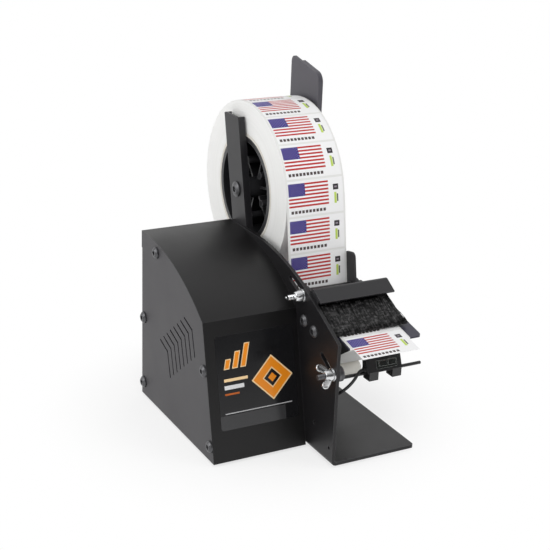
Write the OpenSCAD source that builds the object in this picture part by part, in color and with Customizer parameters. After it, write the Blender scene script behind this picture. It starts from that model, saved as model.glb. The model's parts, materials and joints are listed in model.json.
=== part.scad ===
// Desk label dispenser: a motor box beside a tall main plate that carries the label roll,
// the peel plate, the brush and the label sensor. Millimetres, +Z up, origin under the middle.
// Inside the modules X runs right from the end panel, Y runs back from the front's bottom edge
// and Z runs up from the underside of the sheet metal.

/* [Motor box] */
// Width of the motor box, from the end panel to the main plate
box_w = 92; // [86:1:100]
// Depth of the motor box
box_d = 161; // [156:1:172]
// Height of the motor box and of the main plate
box_h = 165; // [160:1:172]
// How far the fold between the front and the curved top lies below the top
fold_drop = 42.2; // [38:0.2:47]
// Lean of the front, in degrees
front_lean = 13; // [11:0.5:14]
// Radius of the curved top
top_r = 204; // [190:1:230]
// Thickness of the cover and the tray
sheet_t = 1.2; // [0.8:0.1:1.5]
// Thickness of the end panel
panel_t = 1.5; // [1:0.1:2]
// Height of the lip that the cover folds down behind
lip_h = 16.5; // [10:0.5:22]
// Number of vent slots
vent_n = 8; // [4:1:9]
// Width of a vent slot
vent_w = 2; // [1.4:0.1:2.6]
// Diameter of the button screw heads
button_d = 11.1; // [9:0.1:11.4]
// Height of the rubber feet
foot_h = 2.5; // [2:0.1:4]
// Diameter of the rubber feet
foot_d = 13; // [10:0.5:15]

/* [Main plate] */
// Thickness of the main plate and of its foot
plate_t = 3.2; // [3:0.1:3.6]
// How far the main plate reaches in front of the box
plate_front = 45; // [44:0.5:46]
// How far the nose of the main plate lies below its top
nose_drop = 49.4; // [48:0.2:51]
// Slope of the main plate's nose, in degrees
nose_slope = 27; // [26:0.5:28]
// Reach of the foot to the right of the main plate
foot_w = 86.5; // [82:0.5:90]

/* [Label roll] */
// Width of the backing paper
web_w = 61; // [56:0.5:62]
// Width of a label
label_w = 57.2; // [45:0.2:58]
// Length of a label
label_l = 31.8; // [28:0.2:33]
// Outer radius of the label roll
roll_r = 83.6; // [70:0.2:86]
// Height of the roll's axle above the motor box
roll_up = 31; // [29:0.5:35]
// Distance of the roll's axle in front of the box's rear
roll_in = 4; // [1:0.5:6]
// Bore radius of the cardboard core
core_r = 50.8; // [48:0.1:53]
// Wall of the cardboard core
core_wall = 3; // [2:0.1:5]
// Width of the rim on the hub's face
rim_w = 4.6; // [3:0.1:6]
// Diameter of the roll axle
axle_d = 12; // [10:0.5:14]
// Width of the steel arm that carries the axle
arm_w = 28; // [24:0.5:32]
// Depth of the arm's flanges
arm_depth = 7; // [5:0.1:7.5]
// Lean of the arm, in degrees
arm_lean = 13; // [11:0.5:14]
// Width of the outer roll guide
guide_w = 53; // [48:0.5:58]
// How far the outer guide's rear edge lies behind the roll's axle
guide_back = 33; // [30:0.5:36]
// Height of the outer roll guide's top edge
guide_top = 314; // [300:1:320]
// Gap between the roll and the outer guide
guide_gap = 3.4; // [2:0.1:3.8]

/* [Web path] */
// Thickness of the backing paper with its labels
web_t = 0.4; // [0.3:0.05:0.6]
// Clearance between the web and what it runs over
web_gap = 0.25; // [0.15:0.05:0.3]
// How far the peel edge lies below the main plate's top
peel_drop = 55; // [54:0.2:56]
// Slope of the peel plate, in degrees
peel_slope = 11; // [9:0.5:12]
// Length of the peel plate, along its slope
peel_l = 74; // [70:0.5:76]
// Width of the peel plate
peel_w = 82; // [78:0.5:84]
// Thickness of the peel plate
peel_t = 1.6; // [1.2:0.1:2]
// Diameter of the web guide rod
rod_d = 10; // [8:0.5:11]
// Radius of the rubber drive roller
drive_r = 13; // [11:0.2:14]
// Diameter of the drive shaft
shaft_d = 8; // [6:0.5:9]
// Radius of the pinch roller
pinch_r = 7.5; // [6.5:0.1:8]

/* [Brush] */
// Width of the hood over the brush
hood_w = 76; // [72:0.5:78]
// Thickness of the hood
hood_t = 1.6; // [1.2:0.1:2]
// Length of the bristles
bristle_l = 37; // [32:0.5:38]
// Width of a bristle
bristle_d = 0.5; // [0.4:0.05:0.6]
// Number of bristles in a row
bristle_n = 92; // [75:1:100]
// Number of rows of bristles
bristle_rows = 4; // [4:1:5]

/* [Sensor] */
// Diameter of the sensor rod
sensor_rod_d = 3; // [2.6:0.1:3.4]
// Length of the sensor rod from the main plate
sensor_rod_l = 84.3; // [83.4:0.1:86]
// Width of the sensor
sensor_w = 35; // [33:0.5:40]
// Height of the sensor
sensor_h = 12.8; // [12:0.1:14.5]
// Diameter of the sensor lead
lead_d = 2.8; // [2.4:0.1:3.2]
// Diameter of the wing nuts' studs
stud_d = 4.8; // [4:0.1:5]

/* [Hidden] */
$fn = 48;

// Fits: a running pin, a screw in its hole, and two pieces laid side by side
run_gap = 0.05;
screw_gap = 0.2;
side_gap = 0.3;
// Distance that carries a cut clear through a wall
through = 1;
// How far a slot's sides lie inside its round ends
slot_tuck = 0.01;

// Planes across the machine
plate_x = box_w;
inner_x = box_w + plate_t;
arm_x = inner_x + arm_depth;
web_x = arm_x + 1.2;
web_end = web_x + web_w;
foot_end = inner_x + foot_w - plate_t;
machine_w = max(inner_x + sensor_rod_l, foot_end);

// Arc of the box's curved top: its middle is level with top_z
top_z = box_h - top_r;
fold_h = box_h - fold_drop;
fold_y = fold_h * tan(front_lean);
top_y = fold_y + sqrt(pow(top_r, 2) - pow(fold_h - top_z, 2));
// Heights that follow the top of the main plate
nose_h = box_h - nose_drop;
peel_z = box_h - peel_drop;
roll_z = box_h + roll_up;
roll_y = box_d - roll_in;
// Arc of the main plate's crown, tangent to its flat top and to the slope of the nose
crown_y = box_d - 46;
crown_r = (tan(nose_slope) * (crown_y + plate_front) - box_h + nose_h)
    / (tan(nose_slope) * sin(nose_slope) - 1 + cos(nose_slope));
bend_r = 5;

// Whole machine's reach, for the origin
label_out = 19;
label_t = 0.25;
nose_r = peel_t / 2;
nose_at = [nose_r - plate_front - 1, peel_z];
head_h = 3;
front_reach = nose_at[0] - (label_out) * cos(peel_slope)
    - (nose_r + web_gap + web_t + label_t) * sin(peel_slope);
back_reach = roll_y + roll_r;
origin_x = (machine_w - head_h) / 2;
origin_y = (front_reach + back_reach) / 2;

// ---- helpers ----
// Moves the machine so that its origin lies under its middle, on the feet
module machine() {
    translate([-origin_x, -origin_y, foot_h]) children();
}
// Extrudes a (Y, Z) outline along X
module along_x(x0, x1) {
    translate([x0, 0, 0]) rotate([90, 0, 90]) linear_extrude(x1 - x0) children();
}
// Extrudes an (X, Z) outline along Y
module along_y(y0, y1) {
    translate([0, y1, 0]) rotate([90, 0, 0]) linear_extrude(y1 - y0) children();
}
// Round bar along X at a (Y, Z) place
module bar_x(at, d, x0, x1) {
    translate([x0, at[0], at[1]]) rotate([0, 90, 0]) cylinder(d = d, h = x1 - x0);
}
// Slot outline from a to b
module slot2d(a, b, w) {
    run = b - a;
    side = w - 2 * slot_tuck;
    translate(a) circle(d = w);
    translate(b) circle(d = w);
    translate(a) rotate(atan2(run[1], run[0])) translate([0, -side / 2]) square([norm(run), side]);
}
// Button screw whose head stands on x towards -X (dir = -1) or +X (dir = 1), shank the other way
module button_screw(at, x, dir, shank_d, length, head = button_d) {
    translate([x, at[0], at[1]]) rotate([0, 90 * dir, 0]) {
        difference() {
            union() {
                cylinder(d = head, h = head_h * 0.4);
                translate([0, 0, head_h * 0.4]) cylinder(d1 = head, d2 = head * 0.62, h = head_h * 0.6);
            }
            translate([0, 0, head_h * 0.35]) cylinder(d = head * 0.42, h = head_h, $fn = 6);
        }
        translate([0, 0, -length]) cylinder(d = shank_d, h = length);
    }
}
// Hex nut along X with its near face on x
module nut_x(at, x, across, bore, height, turn = 0) {
    difference() {
        translate([x, at[0], at[1]]) rotate([turn, 0, 0]) rotate([0, 90, 0])
            cylinder(d = across / cos(30), h = height, $fn = 6);
        bar_x(at, bore, x - through, x + height + through);
    }
}
function unit(a) = [cos(a), sin(a)];

// ---- motor box ----
// Side outline of the motor box, drawn in by inset at the front and the top
module box_outline(inset, low, back) {
    foot_y = inset / cos(front_lean);
    intersection() {
        polygon([
            [foot_y + low * tan(front_lean), low],
            [foot_y + box_h * tan(front_lean), box_h],
            [back, box_h],
            [back, low]
        ]);
        union() {
            translate([top_y, top_z]) circle(r = top_r - inset, $fn = 200);
            translate([top_y, low]) square([back - top_y, box_h - inset - low]);
        }
    }
}
function front_y(z) = z * tan(front_lean);
function top_at(y) = top_z + sqrt(pow(top_r, 2) - pow(top_y - y, 2));
rear_top = box_d < top_y ? top_at(box_d) : box_h;
// Screw places on the end panel: two at the front, one under the top and two at the rear
edge_in = 5;
screw_front = [for (z = [14, 80]) [front_y(z) + edge_in, z]];
screw_top = [box_d - 33, top_at(box_d - 33) - 9.5];
screw_rear = [for (z = [13, 80]) [box_d - edge_in, z]];
screw_d = 5;
tab_size = 24;

module wrap_cover() machine() color([0.13, 0.13, 0.14]) {
    difference() {
        along_x(0, box_w) box_outline(0, 0, box_d);
        along_x(-through, box_w + through) box_outline(sheet_t, -through, box_d + through);
    }
    translate([0, box_d, rear_top - lip_h]) cube([box_w, sheet_t, lip_h]);
    translate([0, box_d - sheet_t, rear_top - sheet_t]) cube([box_w, 2 * sheet_t, sheet_t]);
    difference() {
        along_x(panel_t, panel_t + sheet_t) intersection() {
            box_outline(sheet_t * 0.9, 0.5, box_d);
            union() {
                for (at = concat(screw_front, [screw_top]))
                    translate(at) square(tab_size, center = true);
            }
        }
        for (at = concat(screw_front, [screw_top]))
            bar_x(at, screw_d + screw_gap, 0, panel_t + 2 * sheet_t);
        // the tray's floor lies behind the lowest tab
        translate([0, 0, -through]) cube([box_w, box_d, sheet_t + through]);
    }
}

vent_top = [117.2, 72.3];
vent_knee = [101.1, 66.8];
vent_low = [94.3, 44];
vent_step = [-7.4, 5.95];
module end_panel() machine() color([0.2, 0.19, 0.22]) difference() {
    along_x(0, panel_t) box_outline(sheet_t + 0.1, 0, box_d);
    for (at = concat(screw_front, [screw_top], screw_rear))
        bar_x(at, screw_d + screw_gap, -through, panel_t + through);
    along_x(-through, panel_t + through) for (i = [0:vent_n - 1]) translate(vent_step * i) {
        slot2d(vent_top, vent_knee, vent_w);
        slot2d(vent_knee, vent_low, vent_w);
    }
}

// Rear wall openings for the power inlet and the switch
inlet_at = [26, 30];
inlet_d = 11;
switch_at = [58, 30];
switch_w = 19;
switch_h = 13;
// Screws that join the tray to the main plate
flange_h = roll_z - 86;
flange_d = 33;
frame_screw_at = [[50, 12], [box_d - 21, 12], [box_d - 21, flange_h - 12]];
module chassis_tray() machine() color([0.16, 0.16, 0.17]) difference() {
    union() {
        translate([panel_t, sheet_t * 2, 0])
            cube([box_w - panel_t, box_d - sheet_t * 2, sheet_t]);
        translate([panel_t, box_d - sheet_t, 0])
            cube([box_w - panel_t, sheet_t, rear_top - sheet_t - 0.1]);
        for (at = screw_rear)
            translate([panel_t, at[0] - 10, at[1] - 9]) cube([sheet_t, box_d - at[0] + 10, 18]);
        translate([plate_x - sheet_t, 40, 0]) cube([sheet_t, box_d - 40, 20]);
        translate([plate_x - sheet_t, box_d - flange_d, 0]) cube([sheet_t, flange_d, flange_h]);
    }
    for (at = screw_rear) bar_x(at, screw_d + screw_gap, 0, panel_t + 2 * sheet_t);
    for (at = frame_screw_at) bar_x(at, 4 + screw_gap, plate_x - 2 * sheet_t, plate_x + through);
    translate([inlet_at[0], box_d + through, inlet_at[1]]) rotate([90, 0, 0])
        cylinder(d = inlet_d + 0.1, h = sheet_t + 2 * through);
    translate([switch_at[0] - switch_w / 2, box_d - 2 * sheet_t, switch_at[1] - switch_h / 2])
        cube([switch_w, 4 * sheet_t, switch_h]);
}
module end_panel_screws() machine() color([0.42, 0.42, 0.43])
    for (at = concat(screw_front, [screw_top], screw_rear))
        button_screw(at, 0, -1, screw_d, panel_t + 4);
module frame_screws() machine() color([0.3, 0.3, 0.31]) for (at = frame_screw_at) {
    button_screw(at, inner_x, 1, 4, plate_t + sheet_t + 3.4, 8);
    nut_x(at, plate_x - sheet_t - 3, 7, 4 + screw_gap, 3);
}
foot_in = 15;
foot_at = [
    [foot_in, box_d - foot_in], [foot_in, foot_in + 1],
    [foot_end - foot_in, box_d - foot_in], [foot_end - foot_in, foot_in - plate_front]
];
module rubber_feet() machine() color([0.08, 0.08, 0.08]) for (at = foot_at)
    translate([at[0], at[1], -foot_h]) cylinder(d1 = foot_d - 1.5, d2 = foot_d, h = foot_h);
// Sticker on the sloped front, by its distance up the slope
sticker_x = [10, 87];
sticker_up = [28, 112];
sticker_t = 0.3;
module front_sticker() machine() color([0.04, 0.04, 0.05]) rotate([90 - front_lean, 0, 0])
    translate([sticker_x[0], sticker_up[0], 0])
        cube([sticker_x[1] - sticker_x[0], sticker_up[1] - sticker_up[0], sticker_t]);

// ---- main plate ----
brush_at = [18, box_h - 27];
brush_travel = 20;
brush_slot = [brush_at, brush_at + 24.5 * unit(20)];
sensor_at = [6 - plate_front, peel_z - 24];
sensor_slot = [sensor_at, sensor_at + 22 * unit(29)];
slot_w = stud_d + 0.4;
drive_at = [35, peel_z - 39.3];
bushing_d = 14;
grommet_d = 7;
arm_screw_down = [54, 69];
arm_screw_at = [for (s = arm_screw_down)
    [roll_y - s * sin(arm_lean), roll_z - s * cos(arm_lean)]];
bend_r_out = 3;
function on_peel(p, q) = nose_at + p * unit(peel_slope) + q * unit(peel_slope + 90);
bend_at = on_peel(peel_l, nose_r - bend_r_out);
rod_at = bend_at + [27.6, 0];
peel_screw_up = [40, 58];
peel_screw_in = 5;
peel_screw_at = [for (p = peel_screw_up) on_peel(p, -peel_screw_in)];
pin_off = [27, -24];
post_off = [16, 24];
pin_at = drive_at + pin_off;
post_at = drive_at + post_off;
grommet_at = [48, 26];
motor_screw_at = [drive_at + [22, 12.5], drive_at + [-5, 13.5], drive_at + [25, -10]];
pilot_at = [[-39.2, 15.6], [-12.2, 28.3]];
crown_steps = 20;
module plate_outline() polygon(concat(
    [[box_d, box_h], [box_d, bend_r], [-plate_front, bend_r], [-plate_front, nose_h]],
    [for (i = [0:crown_steps]) let(a = nose_slope * (1 - i / crown_steps))
        [crown_y - crown_r * sin(a), box_h - crown_r * (1 - cos(a))]]
));
// Upright, a quarter-round bend and the foot, joined on their full thickness
foot_round = 3;
module foot_outline() {
    y0 = -plate_front;
    translate([plate_x + bend_r, y0]) square([foot_w - bend_r - foot_round, box_d - y0]);
    translate([foot_end - foot_round, y0 + foot_round]) square([foot_round, box_d - y0 - 2 * foot_round]);
    for (y = [y0 + foot_round, box_d - foot_round])
        translate([foot_end - foot_round, y]) circle(r = foot_round);
}
module main_frame() machine() color([0.1, 0.1, 0.11]) difference() {
    union() {
        along_x(plate_x, inner_x) plate_outline();
        along_y(-plate_front, box_d) translate([plate_x + bend_r, bend_r]) intersection() {
            difference() {
                circle(r = bend_r);
                circle(r = bend_r - plate_t);
            }
            translate([-bend_r, -bend_r]) square(bend_r);
        }
        linear_extrude(plate_t) foot_outline();
    }
    along_x(plate_x - through, inner_x + through) {
        slot2d(brush_slot[0], brush_slot[1], slot_w);
        slot2d(sensor_slot[0], sensor_slot[1], slot_w);
    }
    bar_x(drive_at, bushing_d + 0.1, plate_x - through, inner_x + through);
    bar_x(rod_at, 5 + screw_gap, plate_x - through, inner_x + through);
    bar_x(grommet_at, grommet_d + 0.1, plate_x - through, inner_x + through);
    bar_x(pin_at, 4 + 0.1, plate_x - through, inner_x + through);
    bar_x(post_at, 3 + 0.1, plate_x - through, inner_x + through);
    for (at = motor_screw_at) bar_x(at, 4 + screw_gap, plate_x - through, inner_x + through);
    for (at = concat(arm_screw_at, peel_screw_at))
        bar_x(at, screw_d + screw_gap, plate_x - through, inner_x + through);
    for (at = frame_screw_at) bar_x(at, 4 + screw_gap, plate_x - through, inner_x + through);
    for (at = pilot_at) bar_x(at, 3.2, plate_x - through, inner_x + through);
}

// ---- roll arm, axle and roll ----
arm_t = 1.8;
arm_low = 82;
arm_top = 69;
axle_end = foot_end - 0.5;
axle_foot = web_x - side_gap - inner_x - arm_t;
module arm_frame() {
    translate([roll_y, roll_z]) rotate(-arm_lean) children();
}
module roll_arm() machine() color([0.3, 0.3, 0.33]) difference() {
    along_x(inner_x, arm_x) intersection() {
        arm_frame() translate([-arm_w / 2, -arm_low]) square([arm_w, arm_low + arm_top + arm_w]);
        square([2 * box_d, roll_z + arm_top]);
        // rounds the rear corner of the top
        union() {
            square([2 * box_d, roll_z + arm_top - 9]);
            translate([roll_y, roll_z]) translate([arm_top * tan(arm_lean) - arm_w, 0])
                square([arm_w * 1.35, arm_top]);
            translate([roll_y + arm_top * tan(arm_lean) + arm_w * 0.35 - 0.5, roll_z + arm_top - 9])
                circle(r = 9);
        }
    }
    along_x(inner_x + arm_t, arm_x + through) arm_frame()
        translate([arm_t - arm_w / 2, -2 * arm_low]) square([arm_w - 2 * arm_t, 4 * arm_low]);
    bar_x([roll_y, roll_z], 6 + screw_gap, inner_x - through, arm_x + through);
    for (at = arm_screw_at) bar_x(at, screw_d + screw_gap, inner_x - through, arm_x + through);
}
module arm_screws() machine() color([0.3, 0.3, 0.31]) for (at = arm_screw_at) {
    button_screw(at, plate_x, -1, screw_d, plate_t + arm_t + 3.4);
    nut_x(at, inner_x + arm_t, 8, screw_d + screw_gap, 3);
}
module hub_axle() machine() color([0.62, 0.62, 0.63]) difference() {
    union() {
        bar_x([roll_y, roll_z], axle_d, inner_x + arm_t, axle_end);
        bar_x([roll_y, roll_z], axle_d + 8, inner_x + arm_t, inner_x + arm_t + axle_foot);
    }
    bar_x([roll_y, roll_z], 6 + 0.1, inner_x, inner_x + 14);
}
axle_head_d = 15;
module axle_screw() machine() color([0.35, 0.35, 0.36])
    button_screw([roll_y, roll_z], inner_x, -1, 6, 12, axle_head_d);

hub_r = core_r - 0.1;
hub_in = hub_r - rim_w;
hub_l = web_w * 0.9;
hub_floor = 3;
boss_r = 10;
rib_n = 6;
rib_in = 12;
post_r = 26.5;
post_in = 5;
hub_depth = hub_l - hub_floor;
module core_hub() machine() color([0.08, 0.08, 0.09]) translate([web_x, roll_y, roll_z]) rotate([0, 90, 0])
    difference() {
        union() {
            difference() {
                union() {
                    cylinder(r1 = hub_r - 1, r2 = hub_r, h = 1);
                    translate([0, 0, 1]) cylinder(r = hub_r, h = hub_l - 1);
                }
                // deep recess in the face
                translate([0, 0, -through]) cylinder(r = hub_in, h = hub_depth + through);
            }
            cylinder(r = boss_r, h = hub_l);
            for (i = [0:rib_n - 1]) rotate(360 / rib_n * i + 20) translate([boss_r - 1, -1, rib_in])
                cube([hub_in - boss_r + 2, 2, hub_depth - rib_in + 1]);
            for (i = [0:rib_n - 1]) rotate(360 / rib_n * i + 50) translate([post_r, 0, post_in])
                cylinder(r = 3.4, h = hub_depth - post_in + 1);
        }
        translate([0, 0, -through]) cylinder(d = axle_d + 2 * run_gap, h = hub_l + 2 * through);
    }
module roll_core() machine() color([0.72, 0.66, 0.55]) difference() {
    bar_x([roll_y, roll_z], 2 * (core_r + core_wall), web_x, web_end);
    bar_x([roll_y, roll_z], 2 * core_r, web_x - through, web_end + through);
}
module label_roll() machine() color([0.93, 0.92, 0.9]) difference() {
    translate([web_x, roll_y, roll_z]) rotate([0, 90, 0]) cylinder(r = roll_r, h = web_w, $fn = 160);
    bar_x([roll_y, roll_z], 2 * (core_r + core_wall) + 0.2, web_x - through, web_end + through);
}

guide_x = web_end + guide_gap;
guide_t = 2;
guide_lip = 5;
guide_low = roll_z - 46;
guide_fall = 7.5;
guide_front_r = 10;
guide_back_r = 6;
guide_y = [roll_y + guide_back - guide_w, roll_y + guide_back];
lip_back = roll_y + 15;
collar_l = 5;
// Corner circles of the guide's top, and the angle at which the sloped edge leaves both
guide_front_at = [guide_y[0] + guide_front_r, guide_top - guide_fall - guide_front_r];
guide_back_at = [guide_y[1] - guide_back_r, guide_top - guide_back_r];
guide_run = guide_back_at - guide_front_at;
guide_turn = atan2(guide_run[1], guide_run[0]) + acos((guide_front_r - guide_back_r) / norm(guide_run));
guide_steps = 8;
// Outline of the guide, drawn in by inset at its sides and top
module guide_outline(inset, low) polygon(concat(
    [[guide_y[1] - inset, low], [guide_y[0] + inset, low]],
    [for (i = [0:guide_steps]) guide_front_at
        + (guide_front_r - inset) * unit(180 + (guide_turn - 180) * i / guide_steps)],
    [for (i = [0:guide_steps]) guide_back_at
        + (guide_back_r - inset) * unit(guide_turn * (1 - i / guide_steps))]
));
module outer_guide() machine() color([0.22, 0.22, 0.24]) difference() {
    union() {
        along_x(guide_x, guide_x + guide_t) guide_outline(0, guide_low);
        // the front lip follows the round corner and the sloped edge, the rear lip is straight
        along_x(guide_x, guide_x + guide_lip) difference() {
            guide_outline(0, guide_low);
            guide_outline(guide_t, guide_low - through);
            translate([lip_back, guide_low - through])
                square([guide_y[1] - guide_t - lip_back, guide_top - guide_low + 2 * through]);
            translate([lip_back, guide_back_at[1]]) square([guide_w, guide_back_r + through]);
        }
        bar_x([roll_y, roll_z], axle_d + 12, guide_x, guide_x + guide_t + collar_l);
    }
    bar_x([roll_y, roll_z], axle_d + 2 * run_gap, guide_x - through, guide_x + guide_t + collar_l + through);
    translate([guide_x + guide_t + collar_l / 2, roll_y, roll_z + axle_d / 2 - 0.5])
        cylinder(d = 3.2, h = 12);
}
module guide_thumb_screw() machine() color([0.5, 0.5, 0.5])
    translate([guide_x + guide_t + collar_l / 2, roll_y, roll_z]) {
        translate([0, 0, axle_d / 2 + 0.2]) cylinder(d = 3, h = 8);
        translate([0, 0, axle_d / 2 + 6.3]) cylinder(d = collar_l - 0.4, h = 4);
    }

// ---- the web: a band that runs over circles in (Y, Z) ----
// Each stop is [centre, signed radius], positive where its centre lies left of the travel
web_half = web_t / 2;
function stop_r(r) = r + web_gap + web_half;
pinch_at = drive_at - [0, drive_r + web_t + 2 * web_gap + pinch_r];
tail_r = 16;
tail_at = drive_at + [22, -drive_r - web_gap - web_half - tail_r];
web_stops = [
    [[roll_y, roll_z], roll_r + 0.1 + web_half],
    [rod_at, -stop_r(rod_d / 2)],
    [bend_at, stop_r(3)],
    [nose_at, stop_r(nose_r)],
    [drive_at, stop_r(drive_r)],
    [tail_at, -tail_r],
    [tail_at + [tail_r + 1, -26], 0]
];
function link(i) = let(a = web_stops[i], b = web_stops[i + 1], run = b[0] - a[0])
    atan2(run[1], run[0]) + acos((b[1] - a[1]) / norm(run));
function wrap_turn(a) = a > 180 ? a - 360 : (a < -180 ? a + 360 : a);
arc_steps = 10;
last_stop = len(web_stops) - 1;
// Points of one side of the band, e to the left of its middle
function web_side(e) = [
    for (i = [0:last_stop])
        let(first = i == 0 ? link(0) : link(i - 1))
        let(turn = (i == 0 || i == last_stop) ? 0 : wrap_turn(link(i) - link(i - 1)))
        for (k = [0:(turn == 0 ? 0 : arc_steps)])
            web_stops[i][0] - (web_stops[i][1] - e) * unit(first + turn * k / arc_steps)
];
function reversed(v) = [for (i = [len(v) - 1:-1:0]) v[i]];
module label_web() machine() color([0.94, 0.93, 0.91])
    along_x(web_x, web_end) polygon(concat(web_side(-web_half), reversed(web_side(web_half))));
label_x = web_x + (web_w - label_w) / 2;
label_q = nose_r + web_gap + web_t;
module front_label() machine() color([0.96, 0.95, 0.93]) along_x(label_x, label_x + label_w)
    polygon([
        on_peel(label_l - label_out, label_q), on_peel(-label_out, label_q),
        on_peel(-label_out, label_q + label_t), on_peel(label_l - label_out, label_q + label_t)
    ]);

// ---- peel plate ----
module in_peel() {
    translate(nose_at) rotate(peel_slope) children();
}
peel_end = inner_x + peel_w;
flange_p = [32, 66];
flange_q = -12;
// Notch beside the main plate in the peel plate's front edge
notch_end = web_x - 1;
notch_back = 16;
module peel_plate() machine() color([0.12, 0.12, 0.16]) difference() {
    union() {
        intersection() {
            along_x(inner_x, peel_end) in_peel() {
                circle(r = nose_r);
                translate([0, -nose_r]) square([peel_l, peel_t]);
                difference() {
                    union() {
                        translate([peel_l, nose_r - bend_r_out]) circle(r = 3);
                        translate([peel_l + 3 - peel_t, nose_r - 12]) square([peel_t, 9]);
                    }
                    translate([peel_l, nose_r - bend_r_out]) circle(r = 3 - peel_t);
                    translate([peel_l - 3, nose_r - 6 - peel_t]) square([6 - peel_t, 4 + peel_t]);
                    translate([peel_l - 4, nose_r - peel_t - 4]) square([4, 4]);
                }
            }
            // rounds the free front corner
            translate([0, -2 * box_d, 0]) union() {
                cube([peel_end - 5, 4 * box_d, box_h]);
                translate([0, 2 * box_d + nose_at[0] - nose_r + 5, 0]) cube([peel_end, 3 * box_d, box_h]);
                translate([peel_end - 5, 2 * box_d + nose_at[0] - nose_r + 5, 0]) cylinder(r = 5, h = box_h);
            }
        }
        along_x(inner_x, inner_x + peel_t) in_peel() translate([flange_p[0], flange_q])
            square([flange_p[1] - flange_p[0], -flange_q]);
    }
    translate([inner_x - through, nose_at[0] - notch_back, 0])
        cube([notch_end - inner_x + through, 2 * notch_back, box_h]);
    for (at = peel_screw_at) bar_x(at, screw_d + screw_gap, inner_x - through, inner_x + 2 * peel_t);
}
module peel_screws() machine() color([0.3, 0.3, 0.31]) for (at = peel_screw_at) {
    button_screw(at, plate_x, -1, screw_d, plate_t + peel_t + 3.4);
    nut_x(at, inner_x + peel_t, 8, screw_d + screw_gap, 3, 30 + peel_slope);
}

// ---- web guide rod and edge guide ----
edge_x = web_end + 0.6;
edge_t = 1.6;
edge_collar_l = 6;
edge_travel = 4;
edge_lean = 10;
edge_w = 17;
edge_up = 33.5;
rod_end = edge_x + edge_collar_l + edge_travel + 2;
module web_guide_rod() machine() color([0.25, 0.25, 0.26]) difference() {
    bar_x(rod_at, rod_d, inner_x, rod_end);
    bar_x(rod_at, 5 + 0.1, inner_x - through, inner_x + 12);
}
module guide_rod_screw() machine() color([0.3, 0.3, 0.31])
    button_screw(rod_at, plate_x, -1, 5, plate_t + 9);
module edge_guide() machine() color([0.15, 0.15, 0.16]) difference() {
    union() {
        along_x(edge_x, edge_x + edge_t) translate(rod_at) rotate(-edge_lean) {
            translate([-edge_w / 2, -6]) square([edge_w, edge_up + 6 - 5]);
            translate([5 - edge_w / 2, 0]) square([edge_w - 10, edge_up]);
            for (s = [-1, 1]) translate([s * (edge_w / 2 - 5), edge_up - 5]) circle(r = 5);
        }
        bar_x(rod_at, rod_d + 7, edge_x, edge_x + edge_collar_l);
    }
    bar_x(rod_at, rod_d + 2 * run_gap, edge_x - through, edge_x + edge_collar_l + through);
    translate([edge_x + 4, rod_at[0], rod_at[1]]) rotate([180, 0, 0]) cylinder(d = 3.2, h = 12);
}
module edge_guide_screw() machine() color([0.5, 0.5, 0.5])
    translate([edge_x + 4, rod_at[0], rod_at[1]]) rotate([180, 0, 0]) {
        translate([0, 0, rod_d / 2 + 0.2]) cylinder(d = 3, h = 6);
        translate([0, 0, rod_d / 2 + 4.8]) cylinder(d = 7, h = 4);
    }

// ---- brush: s runs back and up along the bristles, n stands off them ----
brush_slope = 30;
brush_root = brush_at + [-16, -3.8];
function in_brush(s, n) = brush_root + s * unit(brush_slope) + n * unit(brush_slope + 90);
module brush_frame() {
    translate(brush_root) rotate(brush_slope) children();
}
ear_x = inner_x + side_gap;
hood_end = inner_x + hood_w;
hood_n = 9.6;
hood_s = [-5.8, 12.4];
holder_n = 3.5;
ear_r = 8;
module brush_hood() machine() color([0.12, 0.12, 0.13]) difference() {
    union() {
        along_x(ear_x, hood_end) brush_frame() difference() {
            union() {
                translate([hood_s[0], -5]) square([hood_s[1] - hood_s[0] - 4, hood_n + 5]);
                translate([hood_s[0], -5]) square([hood_s[1] - hood_s[0], hood_n + 1]);
                translate([hood_s[1] - 4, hood_n - 4]) circle(r = 4);
            }
            translate([hood_s[0] - 1, -6]) square([hood_s[1] - hood_s[0] + 1 - 4, hood_n + 6 - hood_t]);
            translate([hood_s[0] - 1, -6]) square([hood_s[1] - hood_s[0] + 1 - hood_t, hood_n + 2]);
            translate([hood_s[1] - 4, hood_n - 4]) circle(r = 4 - hood_t);
        }
        along_x(ear_x, ear_x + hood_t) {
            translate(brush_at) circle(r = ear_r);
            difference() {
                slot2d(in_brush(4, hood_n - 6.5), brush_at + 0.4 * unit(brush_slope), 12);
                brush_frame() translate([hood_s[0], hood_n]) square([40, 20]);
            }
        }
    }
    bar_x(brush_at, stud_d + screw_gap, ear_x - through, ear_x + hood_t + through);
}
holder_x = ear_x + hood_t + 0.2;
holder_end = hood_end - 2;
bristle_x = holder_x + 1.5;
bristle_end = holder_end - 1.5;
holder_l = hood_s[1] - hood_t;
module brush_holder() machine() color([0.1, 0.1, 0.1]) along_x(holder_x, holder_end) brush_frame()
    difference() {
        translate([0, -holder_n]) square([holder_l, 2 * holder_n]);
        translate([-1, -holder_n + 1]) square([7, 2 * holder_n - 2]);
    }
// One strand: a three-sided spike from the backing to the web, fanned a little to the right end
strand_sink = 0.6;
function strand_root(i, row) = [
    bristle_x + bristle_d + (bristle_end - bristle_x - 2 * bristle_d) * i / (bristle_n - 1),
    -0.5,
    (row - (bristle_rows - 1) / 2) * 1.25 + (i % 2) * 0.3
];
// Height of the brush's root above the web, and how steeply the strands come down to it
web_drop = (brush_root - on_peel(0, nose_r + web_gap + web_t)) * unit(peel_slope + 90);
brush_dive = brush_slope - peel_slope;
tip_clear = 0.6;
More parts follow.
